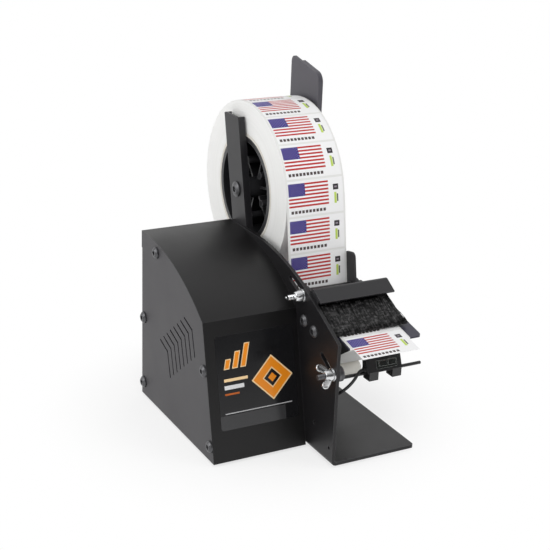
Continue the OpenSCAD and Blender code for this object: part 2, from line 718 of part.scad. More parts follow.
// Each tip ends at the strand's length, or short of it where it would reach the web
function strand_tip(i, row) = let(
        root = strand_root(i, row), fan = pow(i / (bristle_n - 1), 6),
        n = root[2] * 0.8 + 1.2 * fan - 0.2,
        limit = (web_drop - tip_clear + n * cos(brush_dive)) / sin(brush_dive)
    )
    [
        root[0] + 3.5 * fan + 0.12 * sin(i * 67 + row * 31),
        -min(bristle_l + 1.1 * sin(i * 37) * cos(i * 11), limit),
        n
    ];
echo(web_drop = web_drop);
function ring3(at, d, a) = [for (k = [0:2]) at + [d / 2 * cos(a + 120 * k), 0, d / 2 * sin(a + 120 * k)]];
function brush_point(p) = let(q = in_brush(p[1], p[2])) [p[0], q[0], q[1]];
strand_count = bristle_n * bristle_rows;
module brush_bristles() machine() color([0.05, 0.05, 0.05]) {
    along_x(bristle_x, bristle_end) brush_frame() translate([-0.9 + 0.6, -holder_n + 1.05])
        square([6, 2 * holder_n - 2.1]);
    points = [
        for (i = [0:bristle_n - 1]) for (row = [0:bristle_rows - 1])
            for (p = concat(
                ring3(strand_root(i, row) + [0, strand_sink, 0], bristle_d, 30),
                ring3(strand_tip(i, row), bristle_d * 0.6, 30)
            )) brush_point(p)
    ];
    faces = [
        for (s = [0:strand_count - 1]) let(b = s * 6)
            for (f = [
                [0, 2, 1], [3, 4, 5],
                [0, 1, 4], [0, 4, 3], [1, 2, 5], [1, 5, 4], [2, 0, 3], [2, 3, 5]
            ]) [b + f[2], b + f[1], b + f[0]]
    ];
    polyhedron(points, faces);
}
stud_out = 15;
module stud(at) {
    bar_x(at, stud_d, plate_x - stud_out, inner_x + side_gap + hood_t);
}
module washer(at) {
    difference() {
        bar_x(at, 12, plate_x - 1.2, plate_x);
        bar_x(at, stud_d + screw_gap, plate_x - 2, inner_x);
    }
}
// Wing nut: a coned body and two wings that spread away from the plate
wing_r = 11.5;
module wing_nut(at, turn) translate([plate_x - 1.2, at[0], at[1]]) rotate([turn, 0, 0]) rotate([0, -90, 0])
    difference() {
        union() {
            cylinder(d1 = 11, d2 = 8, h = 7);
            rotate([90, 0, 0]) linear_extrude(2.4, center = true) for (s = [-1, 1]) scale([s, 1]) {
                polygon([[3, 0.8], [6.5, 3], [11, 8], [9, 12], [5, 9.5], [3, 6.5]]);
                translate([wing_r - 3.6, 8.8]) circle(r = 3.6);
            }
        }
        translate([0, 0, -1]) cylinder(d = stud_d + screw_gap, h = 20);
    }
module brush_stud() machine() color([0.7, 0.7, 0.68]) {
    stud(brush_at);
    bar_x(brush_at, 6, ear_x + hood_t, ear_x + hood_t + 2);
}
module brush_washer() machine() color([0.75, 0.75, 0.73]) washer(brush_at);
module brush_wing_nut() machine() color([0.78, 0.8, 0.78]) wing_nut(brush_at, 67);

// ---- sensor ----
collar_t = 5;
collar_d = 14;
sensor_x = inner_x + 25.8;
sensor_end = sensor_x + sensor_w;
rod_off = [-4, -2.5];
sensor_rod_at = sensor_at + rod_off;
module sensor_stud() machine() color([0.07, 0.07, 0.07]) {
    bar_x(sensor_at, stud_d, plate_x - stud_out, inner_x + 0.2);
    difference() {
        bar_x(sensor_at, collar_d, inner_x + 0.2, inner_x + collar_t);
        bar_x(sensor_rod_at, sensor_rod_d + 0.1, inner_x + 1, inner_x + collar_t + through);
    }
}
module sensor_washer() machine() color([0.75, 0.75, 0.73]) washer(sensor_at);
module sensor_wing_nut() machine() color([0.82, 0.82, 0.8]) wing_nut(sensor_at, -45);
module sensor_rod() machine() color([0.12, 0.12, 0.12])
    bar_x(sensor_rod_at, sensor_rod_d, inner_x + 1.05, inner_x + sensor_rod_l);
// Housing with two clips that grip the rod from below, drawn from its rear lower corner
house_at = sensor_rod_at + [4.5, sensor_rod_d / 2 + 0.3];
house_d = 11;
house_lean = 5;
house_tuck = 2;
clip_w = 9.2;
clip_deep = 10;
clip_x = [sensor_x + 1.8, sensor_end - 0.5 - clip_w];
board_x = [sensor_x + 9.7, sensor_end - 4.5];
board_recess = 1.2;
window_w = 7.7;
module sensor_housing() machine() color([0.06, 0.06, 0.06]) difference() {
    union() {
        along_x(sensor_x, sensor_end) polygon([
            house_at + [-house_tuck, 0], house_at + [-house_d, 0],
            house_at + [-house_d + house_lean, sensor_h], house_at + [0, sensor_h]
        ]);
        for (x = clip_x) translate([x, house_at[0] - house_d, sensor_rod_at[1] - 5.5])
            cube([clip_w, clip_deep, 5.5 + sensor_rod_d / 2 + 1]);
        // boss that the lead comes out of
        bar_x(lead_from, lead_d + 2, sensor_x - 2, sensor_x);
    }
    for (x = clip_x) bar_x(sensor_rod_at, sensor_rod_d + 2 * run_gap, x - through, x + clip_w + through);
    // shallow recess for the board in the sloped front
    along_x(board_x[0] - screw_gap, board_x[1] + screw_gap) translate(house_at + [-house_d, 0])
        rotate(atan2(sensor_h, house_lean) - 90) translate([-1, 2.5]) square([1 + board_recess, sensor_h - 5]);
}
module sensor_board() machine() color([0.1, 0.11, 0.1]) {
    along_x(board_x[0], board_x[1]) translate(house_at + [-house_d, 0])
        rotate(atan2(sensor_h, house_lean) - 90) translate([0.2, 2.7])
            square([board_recess - 0.2, sensor_h - 5.4]);
    for (x = [board_x[0] + 2.4, board_x[1] - 1.8 - window_w])
        along_x(x, x + window_w) translate(house_at + [-house_d, 0])
        rotate(atan2(sensor_h, house_lean) - 90) translate([-1.2, 4.7]) square([1.4, 5]);
}
// Lead: its route is [X, Y, Z] round numbers from the housing to the grommet in the main plate
lead_from = sensor_at + [-5.5, 1.8];
lead_route = [
    [119, -44.5, 87.8], [116.4, -44.8, 87.5], [113.8, -45.8, 86.6], [111.4, -46.8, 84.6],
    [109.2, -47, 81.6], [107, -46, 78], [104.8, -44, 74], [102.8, -41, 70], [101.2, -37, 66],
    [100.3, -32.4, 62.2], [100.2, -27, 58.6],
    [100.2, -21, 54.8], [100.3, -14.5, 51.4], [100.6, -7.5, 48], [101, 0, 44.4], [101.6, 7.5, 40.8],
    [102.4, 15, 37.2], [103.2, 22, 33.8], [104, 28.6, 30.9], [104.4, 34.6, 28.6], [103.8, 40, 27],
    [102.2, 44.2, 26.2], [100, 47, 26], [97.8, 48, 26]
];
// The route is drawn for these places of the main plate, the sensor and the grommet
lead_drawn = [95.2, -39, 86, 48, 26];
function lead_at(i) = let(t = i / lead_last, w = t * t * (3 - 2 * t))
    lead_route[i] + (1 - w) * [inner_x - lead_drawn[0],
        sensor_at[0] - lead_drawn[1], sensor_at[1] - lead_drawn[2]]
    + w * [inner_x - lead_drawn[0], grommet_at[0] - lead_drawn[3], grommet_at[1] - lead_drawn[4]];
lead_sides = 8;
lead_last = len(lead_route) - 1;
function lead_dir(i) = let(a = lead_at(max(i - 1, 0)), b = lead_at(min(i + 1, lead_last)))
    (i == 0 || i == lead_last) ? [-1, 0, 0] : (b - a) / norm(b - a);
function lead_ring(i) = let(
        t = lead_dir(i), u0 = cross(t, [0.3, 0.2, 1]), u = u0 / norm(u0), v = cross(t, u)
    )
    [for (k = [0:lead_sides - 1]) lead_at(i)
        + lead_d / 2 * (cos(360 * k / lead_sides) * u + sin(360 * k / lead_sides) * v)];
function lead_length(i = 0) = i == lead_last ? 0 : norm(lead_at(i + 1) - lead_at(i)) + lead_length(i + 1);
echo(lead_length = lead_length());
module sensor_lead() machine() color([0.05, 0.05, 0.05]) polyhedron(
    [for (i = [0:lead_last]) each lead_ring(i)],
    concat(
        [[for (k = [0:lead_sides - 1]) k]],
        [[for (k = [lead_sides - 1:-1:0]) lead_last * lead_sides + k]],
        [for (i = [0:lead_last - 1]) for (k = [0:lead_sides - 1])
            let(a = i * lead_sides, n = (k + 1) % lead_sides)
            each [[a + k, a + lead_sides + k, a + lead_sides + n], [a + k, a + lead_sides + n, a + n]]]
    )
);
module lead_grommet() machine() color([0.04, 0.04, 0.04]) difference() {
    union() {
        bar_x(grommet_at, grommet_d, plate_x - 1.6, inner_x + 1);
        bar_x(grommet_at, grommet_d + 4, inner_x, inner_x + 2.6);
        bar_x(grommet_at, grommet_d + 3, plate_x - 1.6, plate_x);
    }
    bar_x(grommet_at, lead_d, plate_x - 3, inner_x + 4);
}

// ---- drive ----
gear_back = [11, 24];
gear_size = [26, 42, 42];
gear_at = [plate_x - gear_size[0], drive_at[0] - gear_back[0], drive_at[1] - gear_back[1]];
motor_at = drive_at + [11, 2];
motor_d = 36;
motor_l = 48;
shaft_end = web_end + 6;
module drive_shaft() machine() color([0.7, 0.7, 0.7]) bar_x(drive_at, shaft_d, plate_x - 16, shaft_end);
module drive_roller() machine() color([0.09, 0.09, 0.09]) difference() {
    bar_x(drive_at, 2 * drive_r, web_x - 2, web_end + 2);
    bar_x(drive_at, shaft_d + 0.1, web_x - 3, web_end + 3);
}
module shaft_bushing() machine() color([0.66, 0.5, 0.25]) difference() {
    union() {
        bar_x(drive_at, bushing_d, plate_x, inner_x);
        bar_x(drive_at, bushing_d + 4, inner_x, inner_x + 2);
    }
    bar_x(drive_at, shaft_d + 2 * run_gap, plate_x - through, inner_x + 3);
}
module gearbox() machine() color([0.45, 0.45, 0.46]) difference() {
    translate(gear_at) cube(gear_size);
    bar_x(drive_at, shaft_d + 2 * run_gap, plate_x - 17, plate_x + through);
    for (at = motor_screw_at) bar_x(at, 4 + 0.1, plate_x - 9, plate_x + through);
}
module motor() machine() color([0.55, 0.55, 0.56]) {
    bar_x(motor_at, motor_d, gear_at[0] - motor_l, gear_at[0]);
    bar_x(motor_at, 10, gear_at[0] - motor_l - 3, gear_at[0] - motor_l);
}
module motor_screws() machine() color([0.3, 0.3, 0.31])
    for (at = motor_screw_at) button_screw(at, inner_x, 1, 4, plate_t + 8, 7.6);

arm_plate = [inner_x + 1.2, inner_x + 3.2];
spring_hook = [drive_at[0] + 16, pinch_at[1] + 0.5];
module pinch_arm() machine() color([0.55, 0.55, 0.56]) difference() {
    union() {
        along_x(arm_plate[0], arm_plate[1]) {
            slot2d(pinch_at, spring_hook, 10);
            slot2d(spring_hook, pin_at, 10);
        }
        // axle of the pinch roller, and the peg that holds the spring
        bar_x(pinch_at, 5, arm_plate[0], web_end + 3);
        bar_x(spring_hook, 2.4, arm_plate[1] - through, arm_plate[1] + 4.4);
    }
    bar_x(pin_at, 4 + 2 * run_gap, arm_plate[0] - through, arm_plate[1] + through);
}
module pinch_pin() machine() color([0.62, 0.62, 0.62]) {
    bar_x(pin_at, 4, plate_x, arm_plate[1] + 0.2);
    bar_x(pin_at, 8, arm_plate[1] + 0.2, arm_plate[1] + 1.8);
    bar_x(pin_at, 7, inner_x, arm_plate[0] - 0.1);
}
module pinch_roller() machine() color([0.9, 0.89, 0.86]) difference() {
    bar_x(pinch_at, 2 * pinch_r, web_x, web_end);
    bar_x(pinch_at, 5 + 2 * run_gap, web_x - through, web_end + through);
}
module spring_post() machine() color([0.62, 0.62, 0.62])
    bar_x(post_at, 3, plate_x, arm_plate[1] + 4.4);
// Tension spring between the post and the arm's peg: one wire, wound along Z
spring_wire = 0.6;
spring_coil_r = 1.8;
spring_curls = 18;
spring_x = arm_plate[1] + 2.3;
spring_rings = 8;
spring_gap_end = 2.4;
spring_low = spring_hook + [0, spring_gap_end];
spring_run = post_at - spring_hook - [0, 2 * spring_gap_end + 0.2];
spring_sides = 6;
function spring_mid(t) = let(a = 360 * spring_curls * t)
    [spring_x + spring_coil_r * cos(a), spring_low[0] + spring_coil_r * sin(a) + spring_run[0] * t,
        spring_low[1] + spring_run[1] * t];
spring_steps = spring_curls * spring_rings;
function spring_ring(i) = let(
        t = i / spring_steps, a = 360 * spring_curls * t,
        out = [cos(a), sin(a), 0]
    )
    [for (k = [0:spring_sides - 1]) spring_mid(t)
        + spring_wire / 2 * (cos(360 * k / spring_sides) * out + [0, 0, sin(360 * k / spring_sides)])];
echo(spring_least_gap = spring_run[1] / spring_curls - spring_wire);
module pinch_spring() machine() color([0.75, 0.75, 0.75]) polyhedron(
    [for (i = [0:spring_steps]) each spring_ring(i)],
    concat(
        [[for (k = [spring_sides - 1:-1:0]) k]],
        [[for (k = [0:spring_sides - 1]) spring_steps * spring_sides + k]],
        [for (i = [0:spring_steps - 1]) for (k = [0:spring_sides - 1])
            let(a = i * spring_sides, n = (k + 1) % spring_sides)
            each [[a + k, a + n, a + spring_sides + n], [a + k, a + spring_sides + n, a + spring_sides + k]]]
    )
);

// ---- electrics ----
board_at = [16, 84];
board_size = [60, 50, 1.6];
standoff_h = 8;
board_hole = 4;
module control_board() machine() color([0.05, 0.25, 0.12]) difference() {
    translate([board_at[0], board_at[1], sheet_t + standoff_h]) union() {
        cube(board_size);
        translate([8, 8, board_size[2]]) cube([14, 10, 11]);
        translate([32, 12, board_size[2]]) cube([16, 12, 6]);
        translate([14, 34, board_size[2]]) cylinder(d = 9, h = 12);
        translate([44, 38, board_size[2]]) cylinder(d = 7, h = 9);
    }
    for (x = [board_hole, board_size[0] - board_hole]) for (y = [board_hole, board_size[1] - board_hole])
        translate([board_at[0] + x, board_at[1] + y, 0]) cylinder(d = 3.2, h = 40);
}
module board_standoffs() machine() color([0.7, 0.7, 0.7])
    for (x = [board_hole, board_size[0] - board_hole]) for (y = [board_hole, board_size[1] - board_hole])
        translate([board_at[0] + x, board_at[1] + y, sheet_t]) {
            cylinder(d = 5.5, h = standoff_h, $fn = 6);
            cylinder(d = 3, h = standoff_h + board_size[2] + 2);
        }
module power_inlet() machine() color([0.06, 0.06, 0.06])
    translate([inlet_at[0], box_d, inlet_at[1]]) rotate([-90, 0, 0]) difference() {
        union() {
            translate([0, 0, -14]) cylinder(d = inlet_d, h = 16.5);
            cylinder(d = inlet_d + 4, h = 2.5);
            translate([0, 0, -sheet_t - 3]) cylinder(d = 16, h = 3, $fn = 6);
        }
        translate([0, 0, -9]) cylinder(d = 5.8, h = 12);
    }
rocker_w = 13;
rocker_h = 9;
rocker_deep = 7;
module switch_body() machine() color([0.06, 0.06, 0.06]) difference() {
    union() {
        translate([switch_at[0] - switch_w / 2 + 0.1, box_d - 14, switch_at[1] - switch_h / 2 + 0.1])
            cube([switch_w - 0.2, 14, switch_h - 0.2]);
        translate([switch_at[0] - switch_w / 2 - 1.5, box_d, switch_at[1] - switch_h / 2 - 1.5])
            cube([switch_w + 3, 1.8, switch_h + 3]);
    }
    translate([switch_at[0] - rocker_w / 2 - 0.8, box_d - rocker_deep, switch_at[1] - rocker_h / 2 - 0.3])
        cube([rocker_w + 1.6, 12, rocker_h + 0.6]);
}
rocker_tilt = 8;
module switch_rocker() machine() color([0.55, 0.07, 0.05])
    translate([switch_at[0], box_d, switch_at[1]]) rotate([0, 0, -rocker_tilt]) difference() {
        union() {
            translate([-rocker_w / 2, -1, -rocker_h / 2]) cube([rocker_w, 3, rocker_h]);
            translate([0, -1, -rocker_h / 2]) cylinder(r = 4, h = rocker_h);
        }
        translate([0, 19.4, -rocker_h]) cylinder(r = 17.8, h = 2 * rocker_h);
    }

main_frame();
wrap_cover();
end_panel();
chassis_tray();
end_panel_screws();
frame_screws();
rubber_feet();
front_sticker();
roll_arm();
arm_screws();
hub_axle();
axle_screw();
core_hub();
roll_core();
label_roll();
outer_guide();
guide_thumb_screw();
label_web();
front_label();
peel_plate();
peel_screws();
web_guide_rod();
guide_rod_screw();
edge_guide();
edge_guide_screw();
brush_hood();
brush_holder();
brush_bristles();
brush_stud();
brush_washer();
brush_wing_nut();
sensor_stud();
sensor_washer();
sensor_wing_nut();
sensor_rod();
sensor_housing();
sensor_board();
sensor_lead();
lead_grommet();
drive_shaft();
drive_roller();
shaft_bushing();
gearbox();
motor();
motor_screws();
pinch_arm();
pinch_pin();
pinch_roller();
pinch_spring();
spring_post();
control_board();
board_standoffs();
power_inlet();
switch_body();
switch_rocker();
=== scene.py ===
import json
import math

import bmesh
import bpy
from mathutils import Matrix, Vector


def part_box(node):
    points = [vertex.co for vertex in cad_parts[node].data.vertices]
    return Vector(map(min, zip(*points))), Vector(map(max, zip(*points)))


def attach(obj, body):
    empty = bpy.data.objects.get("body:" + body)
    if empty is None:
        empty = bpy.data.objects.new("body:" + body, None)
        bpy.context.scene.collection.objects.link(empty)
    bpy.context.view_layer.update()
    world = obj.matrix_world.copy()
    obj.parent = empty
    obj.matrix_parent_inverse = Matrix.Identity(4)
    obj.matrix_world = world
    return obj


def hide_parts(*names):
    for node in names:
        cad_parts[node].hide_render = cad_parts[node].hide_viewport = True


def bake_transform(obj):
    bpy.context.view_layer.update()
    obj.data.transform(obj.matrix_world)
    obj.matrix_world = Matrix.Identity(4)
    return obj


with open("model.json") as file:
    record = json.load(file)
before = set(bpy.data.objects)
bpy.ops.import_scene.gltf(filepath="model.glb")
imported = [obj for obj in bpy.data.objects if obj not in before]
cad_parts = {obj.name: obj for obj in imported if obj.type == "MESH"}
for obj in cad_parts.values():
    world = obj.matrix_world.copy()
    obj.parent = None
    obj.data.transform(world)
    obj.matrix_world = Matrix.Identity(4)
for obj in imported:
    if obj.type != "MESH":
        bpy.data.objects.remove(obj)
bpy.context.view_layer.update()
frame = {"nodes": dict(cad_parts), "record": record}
bpy.context.scene.view_settings.view_transform = "Standard"

# ---------------------------------------------------------------- places and sizes
# Machine places are in millimetres: X from the end panel to the right, Y back from the
# foot of the sloped front, Z up from the tray's underside.
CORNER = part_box("main_frame")[0] * 1000
PLATE_X = 92.0
PLATE_T = 3.2
INNER_X = PLATE_X + PLATE_T
PLATE_FRONT = 45.0
SHIFT = Vector((CORNER.x - PLATE_X, CORNER.y + PLATE_FRONT, CORNER.z))
FRONT_LEAN = 13.0

WEB_X = 103.4
WEB_W = 61.0
LABEL_W = 57.2
LABEL_X = WEB_X + (WEB_W - LABEL_W) / 2
LABEL_L = 31.8
LABEL_PITCH = 33.8
LABEL_FIRST = -18.0
LABEL_OUT = 19.0
LABEL_T = 0.25
WEB_T = 0.4
WEB_GAP = 0.25
LABEL_SKIN = 0.15
LABEL_START_S = 15.0
# labels counted from the peel edge; beyond them the roll's outer layer is bare
LABELS = 20

ROLL_AT = (157.0, 196.0)
ROLL_R = 83.6
CORE_OUT_R = 53.9
NOSE_AT = (-45.2, 110.0)
NOSE_R = 0.8
PEEL_SLOPE = 11.0
PEEL_L = 74
PEEL_BACK_R = 3
DRIVE_AT = (35.0, 70.7)
DRIVE_R = 13
TAIL_AT = (57.0, 41.25)
TAIL_R = 16.0
TAIL_RUN = (17, -26)
ROD_AT = (55.5, 122.0)
ROD_R = 5
# the strip leaves the roll at this distance along it and at this angle round the axle
TANGENT_S = 201.4
TANGENT_ANGLE = 171.44
ROLL_BARE_S = LABEL_FIRST + LABELS * LABEL_PITCH

BRUSH_AT = (18.0, 138.0)
BRUSH_ROOT = (2.0, 134.2)
BRUSH_SLOPE = 30.0
SENSOR_AT = (-39.0, 86.0)
POST_AT = (51.0, 94.7)
HOOK_AT = (51.0, 49.8)
SPRING_X = 100.7
SPRING_STILL_Z = 64.0
BRISTLE_X = 99.1
NUT_FACE = PLATE_X - 1.2
STUD_TIP = PLATE_X - 15
STUD_R = 2.4
THREAD_PITCH, THREAD_DEPTH = 0.8, 0.32

BODIES = frame["record"]["behaviour"]["bodies"]
BODY_OF = {node: body for body, nodes in BODIES.items() for node in nodes}


def at(x, y, z):
    """A machine point, in metres of the shared frame."""
    return (Vector((x, y, z)) + SHIFT) / 1000


def unit(angle):
    return math.cos(math.radians(angle)), math.sin(math.radians(angle))


def on_peel(p, q):
    """A (Y, Z) place p back from the peel edge and q off the peel plate."""
    a, b = unit(PEEL_SLOPE), unit(PEEL_SLOPE + 90)
    return NOSE_AT[0] + p * a[0] + q * b[0], NOSE_AT[1] + p * a[1] + q * b[1]


def new_object(name, data):
    thing = bpy.data.objects.new(name, data)
    bpy.context.scene.collection.objects.link(thing)
    return thing


# ---------------------------------------------------------------- node helpers
class Num:
    """A number in a node tree; its arithmetic adds Math nodes."""

    def __init__(self, tree, socket):
        self.tree, self.socket = tree, socket

    def make(self, operation, *others):
        node = self.tree.nodes.new("ShaderNodeMath")
        node.operation = operation
        for slot, value in zip(node.inputs, (self, *others)):
            if isinstance(value, Num):
                self.tree.links.new(value.socket, slot)
            else:
                slot.default_value = value
        return Num(self.tree, node.outputs[0])

    def __rsub__(self, other):
        return self.make("MULTIPLY", -1.0).make("ADD", other)

    def within(self, low, high):
        return (self > low) * (self < high)

    def clamped(self):
        node = self.make("ADD", 0.0)
        node.socket.node.use_clamp = True
        return node


for sign, operation in (("add", "ADD"), ("sub", "SUBTRACT"), ("mul", "MULTIPLY"),
                        ("truediv", "DIVIDE"), ("mod", "FLOORED_MODULO"), ("gt", "GREATER_THAN"),
                        ("lt", "LESS_THAN"), ("or", "MAXIMUM"), ("abs", "ABSOLUTE")):
    setattr(Num, f"__{sign}__",
            lambda self, *others, operation=operation: self.make(operation, *others))


def add(tree, kind, settings=None, **inputs):
    """A new node with its settings and inputs; an input may be a socket, a Num or a value."""
    node = tree.nodes.new(kind)
    for name, value in (settings or {}).items():
        setattr(node, name, value)
    plug(tree, node, **inputs)
    return node


def plug(tree, node, **inputs):
    """Sockets, Nums or fixed values for a node's inputs."""
    for name, value in inputs.items():
        join(tree, value, node.inputs[name.replace("_", " ")])


def join(tree, value, slot):
    if isinstance(value, Num):
        value = value.socket
    if isinstance(value, bpy.types.NodeSocket):
        tree.links.new(value, slot)
    else:
        slot.default_value = value


def object_place(tree):
    return add(tree, "ShaderNodeTexCoord").outputs["Object"]


def noise(tree, place, scale, detail, roughness=0.5):
    return Num(tree, add(tree, "ShaderNodeTexNoise", Vector=place, Scale=scale, Detail=detail,
                         Roughness=roughness).outputs["Fac"])


def line_noise(tree, along, detail, roughness=0.5):
    """Noise along one measure."""
    return Num(tree, add(tree, "ShaderNodeTexNoise", {"noise_dimensions": "1D"}, W=along,
                         Scale=1.0, Detail=detail, Roughness=roughness).outputs["Fac"])


def vector_math(tree, operation, first, second):
    """A Vector Math node on a socket and a socket or a fixed vector."""
    node = add(tree, "ShaderNodeVectorMath", {"operation": operation})
    join(tree, first, node.inputs[0])
    join(tree, second, node.inputs[1])
    return node.outputs["Value" if operation == "DOT_PRODUCT" else "Vector"]


def eased(tree, value, **ends):
    """A value's range mapped on another one, with soft ends."""
    return Num(tree, add(tree, "ShaderNodeMapRange", {"interpolation_type": "SMOOTHSTEP"},
                         Value=value, **ends).outputs["Result"])


def layered(tree, under, over, share):
    """The colour over laid on the colour under by a share from 0 to 1."""
    node = tree.nodes.new("ShaderNodeMix")
    node.data_type = "RGBA"
    for value, slot in ((share, 0), (under, 6), (over, 7)):
        if isinstance(value, tuple):
            value = (*value, 1.0)
        join(tree, value, node.inputs[slot])
    return node.outputs[2]


def group(name, kind, inputs, outputs):
    """A node group with named inputs, given as (name, type, start value), and outputs."""
    tree = bpy.data.node_groups.new(name, kind)
    for label, socket_type, value in inputs:
        socket = tree.interface.new_socket(name=label, in_out="INPUT", socket_type=socket_type)
        if value is not None:
            socket.default_value = value
    for label, socket_type in outputs:
        tree.interface.new_socket(name=label, in_out="OUTPUT", socket_type=socket_type)
    return tree, tree.nodes.new("NodeGroupInput"), tree.nodes.new("NodeGroupOutput")


FLOAT, COLOUR, VECTOR = "NodeSocketFloat", "NodeSocketColor", "NodeSocketVector"


def grain_group():
    """Fine and broad mottle of a coated or moulded surface, with its bump."""
    tree, given, made = group(
        "surface_grain", "ShaderNodeTree",
        [("Fine Scale", FLOAT, 900.0), ("Broad Scale", FLOAT, 30.0), ("Depth", FLOAT, 0.00003)],
        [("Fine", FLOAT), ("Broad", FLOAT), ("Normal", VECTOR)],
    )
    place = object_place(tree)
    fine = noise(tree, place, given.outputs["Fine Scale"], 3.0, 0.6)
    broad = noise(tree, place, given.outputs["Broad Scale"], 4.0, 0.55)
    bump = add(tree, "ShaderNodeBump", Strength=1.0, Distance=given.outputs["Depth"], Height=fine)
    plug(tree, made, Fine=fine, Broad=broad, Normal=bump.outputs["Normal"])
    return tree


def edge_wear_and_glint_group():
    """Mask of the edges, broken up by noise: rubbed-thin wear on most finishes, a painted
    highlight on the hub and the sensor window.
    """
    tree, given, made = group(
        "edge_rub", "ShaderNodeTree",
        [("Width", FLOAT, 0.0008), ("Break", FLOAT, 0.5)], [("Mask", FLOAT)],
    )
    place = object_place(tree)
    rounded = add(tree, "ShaderNodeBevel", {"samples": 4}, Radius=given.outputs["Width"])
    flat = add(tree, "ShaderNodeNewGeometry").outputs["True Normal"]
    facing = Num(tree, vector_math(tree, "DOT_PRODUCT", rounded.outputs[0], flat))
    edge = ((1.0 - facing) * 6.0).clamped()
    holes = 1.0 - noise(tree, place, 260.0, 3.0) * Num(tree, given.outputs["Break"])
    plug(tree, made, Mask=(edge * holes).clamped())
    return tree


GRAIN = grain_group()
EDGE_WEAR_AND_GLINT = edge_wear_and_glint_group()


def blank(name):
    material = bpy.data.materials.new(name)
    material.use_nodes = True
    return material, material.node_tree, material.node_tree.nodes["Principled BSDF"]


def placed(tree, shared, **inputs):
    """A shared group as a node of a material."""
    return add(tree, "ShaderNodeGroup", {"node_tree": shared}, **inputs)


def finish(name, colour, rough, metallic=0.0, specular=0.5, coat=0.0, fine=900.0, depth=0.00003,
           mottle=0.12, edge_wear_and_glint=None, edge_wear_and_glint_share=0.5, edge_wear_and_glint_width=0.0008):
    """A coated, moulded or plated surface: mottled colour and gloss, grain and lighter edges,
    which are rubbed-thin wear on most finishes and a painted highlight on the hub and the sensor
    window.
    """
    material, tree, shader = blank(name)
    grain = placed(tree, GRAIN, Fine_Scale=fine, Depth=depth)
    broad = Num(tree, grain.outputs["Broad"])
    fine_value = Num(tree, grain.outputs["Fine"])
    dark = tuple(c * (1 - mottle) for c in colour)
    light = tuple(min(1.0, c * (1 + mottle)) for c in colour)
    shade = layered(tree, dark, light, ((broad - 0.5) * 1.6 + fine_value * 0.5 + 0.25).clamped())
    gloss = (broad - 0.5) * 0.16 + (fine_value - 0.5) * 0.1 + rough
    if edge_wear_and_glint:
        mask = Num(tree, placed(tree, EDGE_WEAR_AND_GLINT, Width=edge_wear_and_glint_width).outputs["Mask"]) * edge_wear_and_glint_share
        shade = layered(tree, shade, edge_wear_and_glint, mask)
        gloss = gloss - mask * 0.1
    plug(tree, shader, Base_Color=shade, Roughness=gloss.clamped(),
         Normal=grain.outputs["Normal"], Metallic=metallic, Specular_IOR_Level=specular,
         Coat_Weight=coat, Coat_Roughness=0.25)
    return material


# ---------------------------------------------------------------- camera, world, lamps, floor
CAMERA_AT = (-438.7, -890.1, 548.3)
CAMERA_ANGLES = (28.94, 20.45, 2.2)
LENS, SENSOR_W = 84.27, 36
LAMP_AIM = (0, 0, 0.12)
BRIGHT_WAY = (0.1, 0.86, 0.42)
SOFT_LIGHT = 0.5
FLOOR_R, FLOOR_SIDES, FLOOR_Z = 3.0, 64, -0.0002


def make_camera():
    azimuth, elevation, roll = (math.radians(a) for a in CAMERA_ANGLES)
    across = Vector((math.cos(azimuth), -math.sin(azimuth), 0))
    up = Vector((math.sin(azimuth) * math.sin(elevation), math.cos(azimuth) * math.sin(elevation),
                 math.cos(elevation)))
    back = across.cross(up)
    right = across * math.cos(roll) + up * math.sin(roll)
    top = up * math.cos(roll) - across * math.sin(roll)
    data = bpy.data.cameras.new("camera")
    data.lens = LENS
    data.sensor_width = SENSOR_W
    camera = new_object("camera", data)
    camera.matrix_world = Matrix.Translation(at(*CAMERA_AT)) @ Matrix(
        (right, top, back)).transposed().to_4x4()
    bpy.context.scene.camera = camera


def make_world():
    """A pale studio, white where seen; in reflections it darkens away from the bright way."""
    world = bpy.data.worlds.new("studio")
    bpy.context.scene.world = world
    world.use_nodes = True
    tree = world.node_tree
    back = tree.nodes["Background"]
    ray = add(tree, "ShaderNodeLightPath")
    seen = Num(tree, ray.outputs["Is Camera Ray"]) | Num(tree, ray.outputs["Is Transmission Ray"])
    glossy = Num(tree, ray.outputs["Is Glossy Ray"])
    way = add(tree, "ShaderNodeTexCoord").outputs["Generated"]
    mirrored = eased(tree, vector_math(tree, "DOT_PRODUCT", way, BRIGHT_WAY),
                     From_Min=-0.75, From_Max=0.75, To_Min=0.06)
    lit = glossy * mirrored + (1.0 - glossy) * SOFT_LIGHT
    plug(tree, back, Strength=seen + (1.0 - seen) * lit, Color=(1, 1, 1, 1))


def make_lamp(name, place, size, power, mirrored=True):
    data = bpy.data.lights.new(name, "AREA")
    data.shape = "DISK"
    data.size = size
    data.energy = power
    lamp = new_object(name, data)
    lamp.location = place
    lamp.rotation_euler = (Vector(LAMP_AIM) - Vector(place)).to_track_quat("-Z", "Y").to_euler()
    lamp.visible_glossy = mirrored


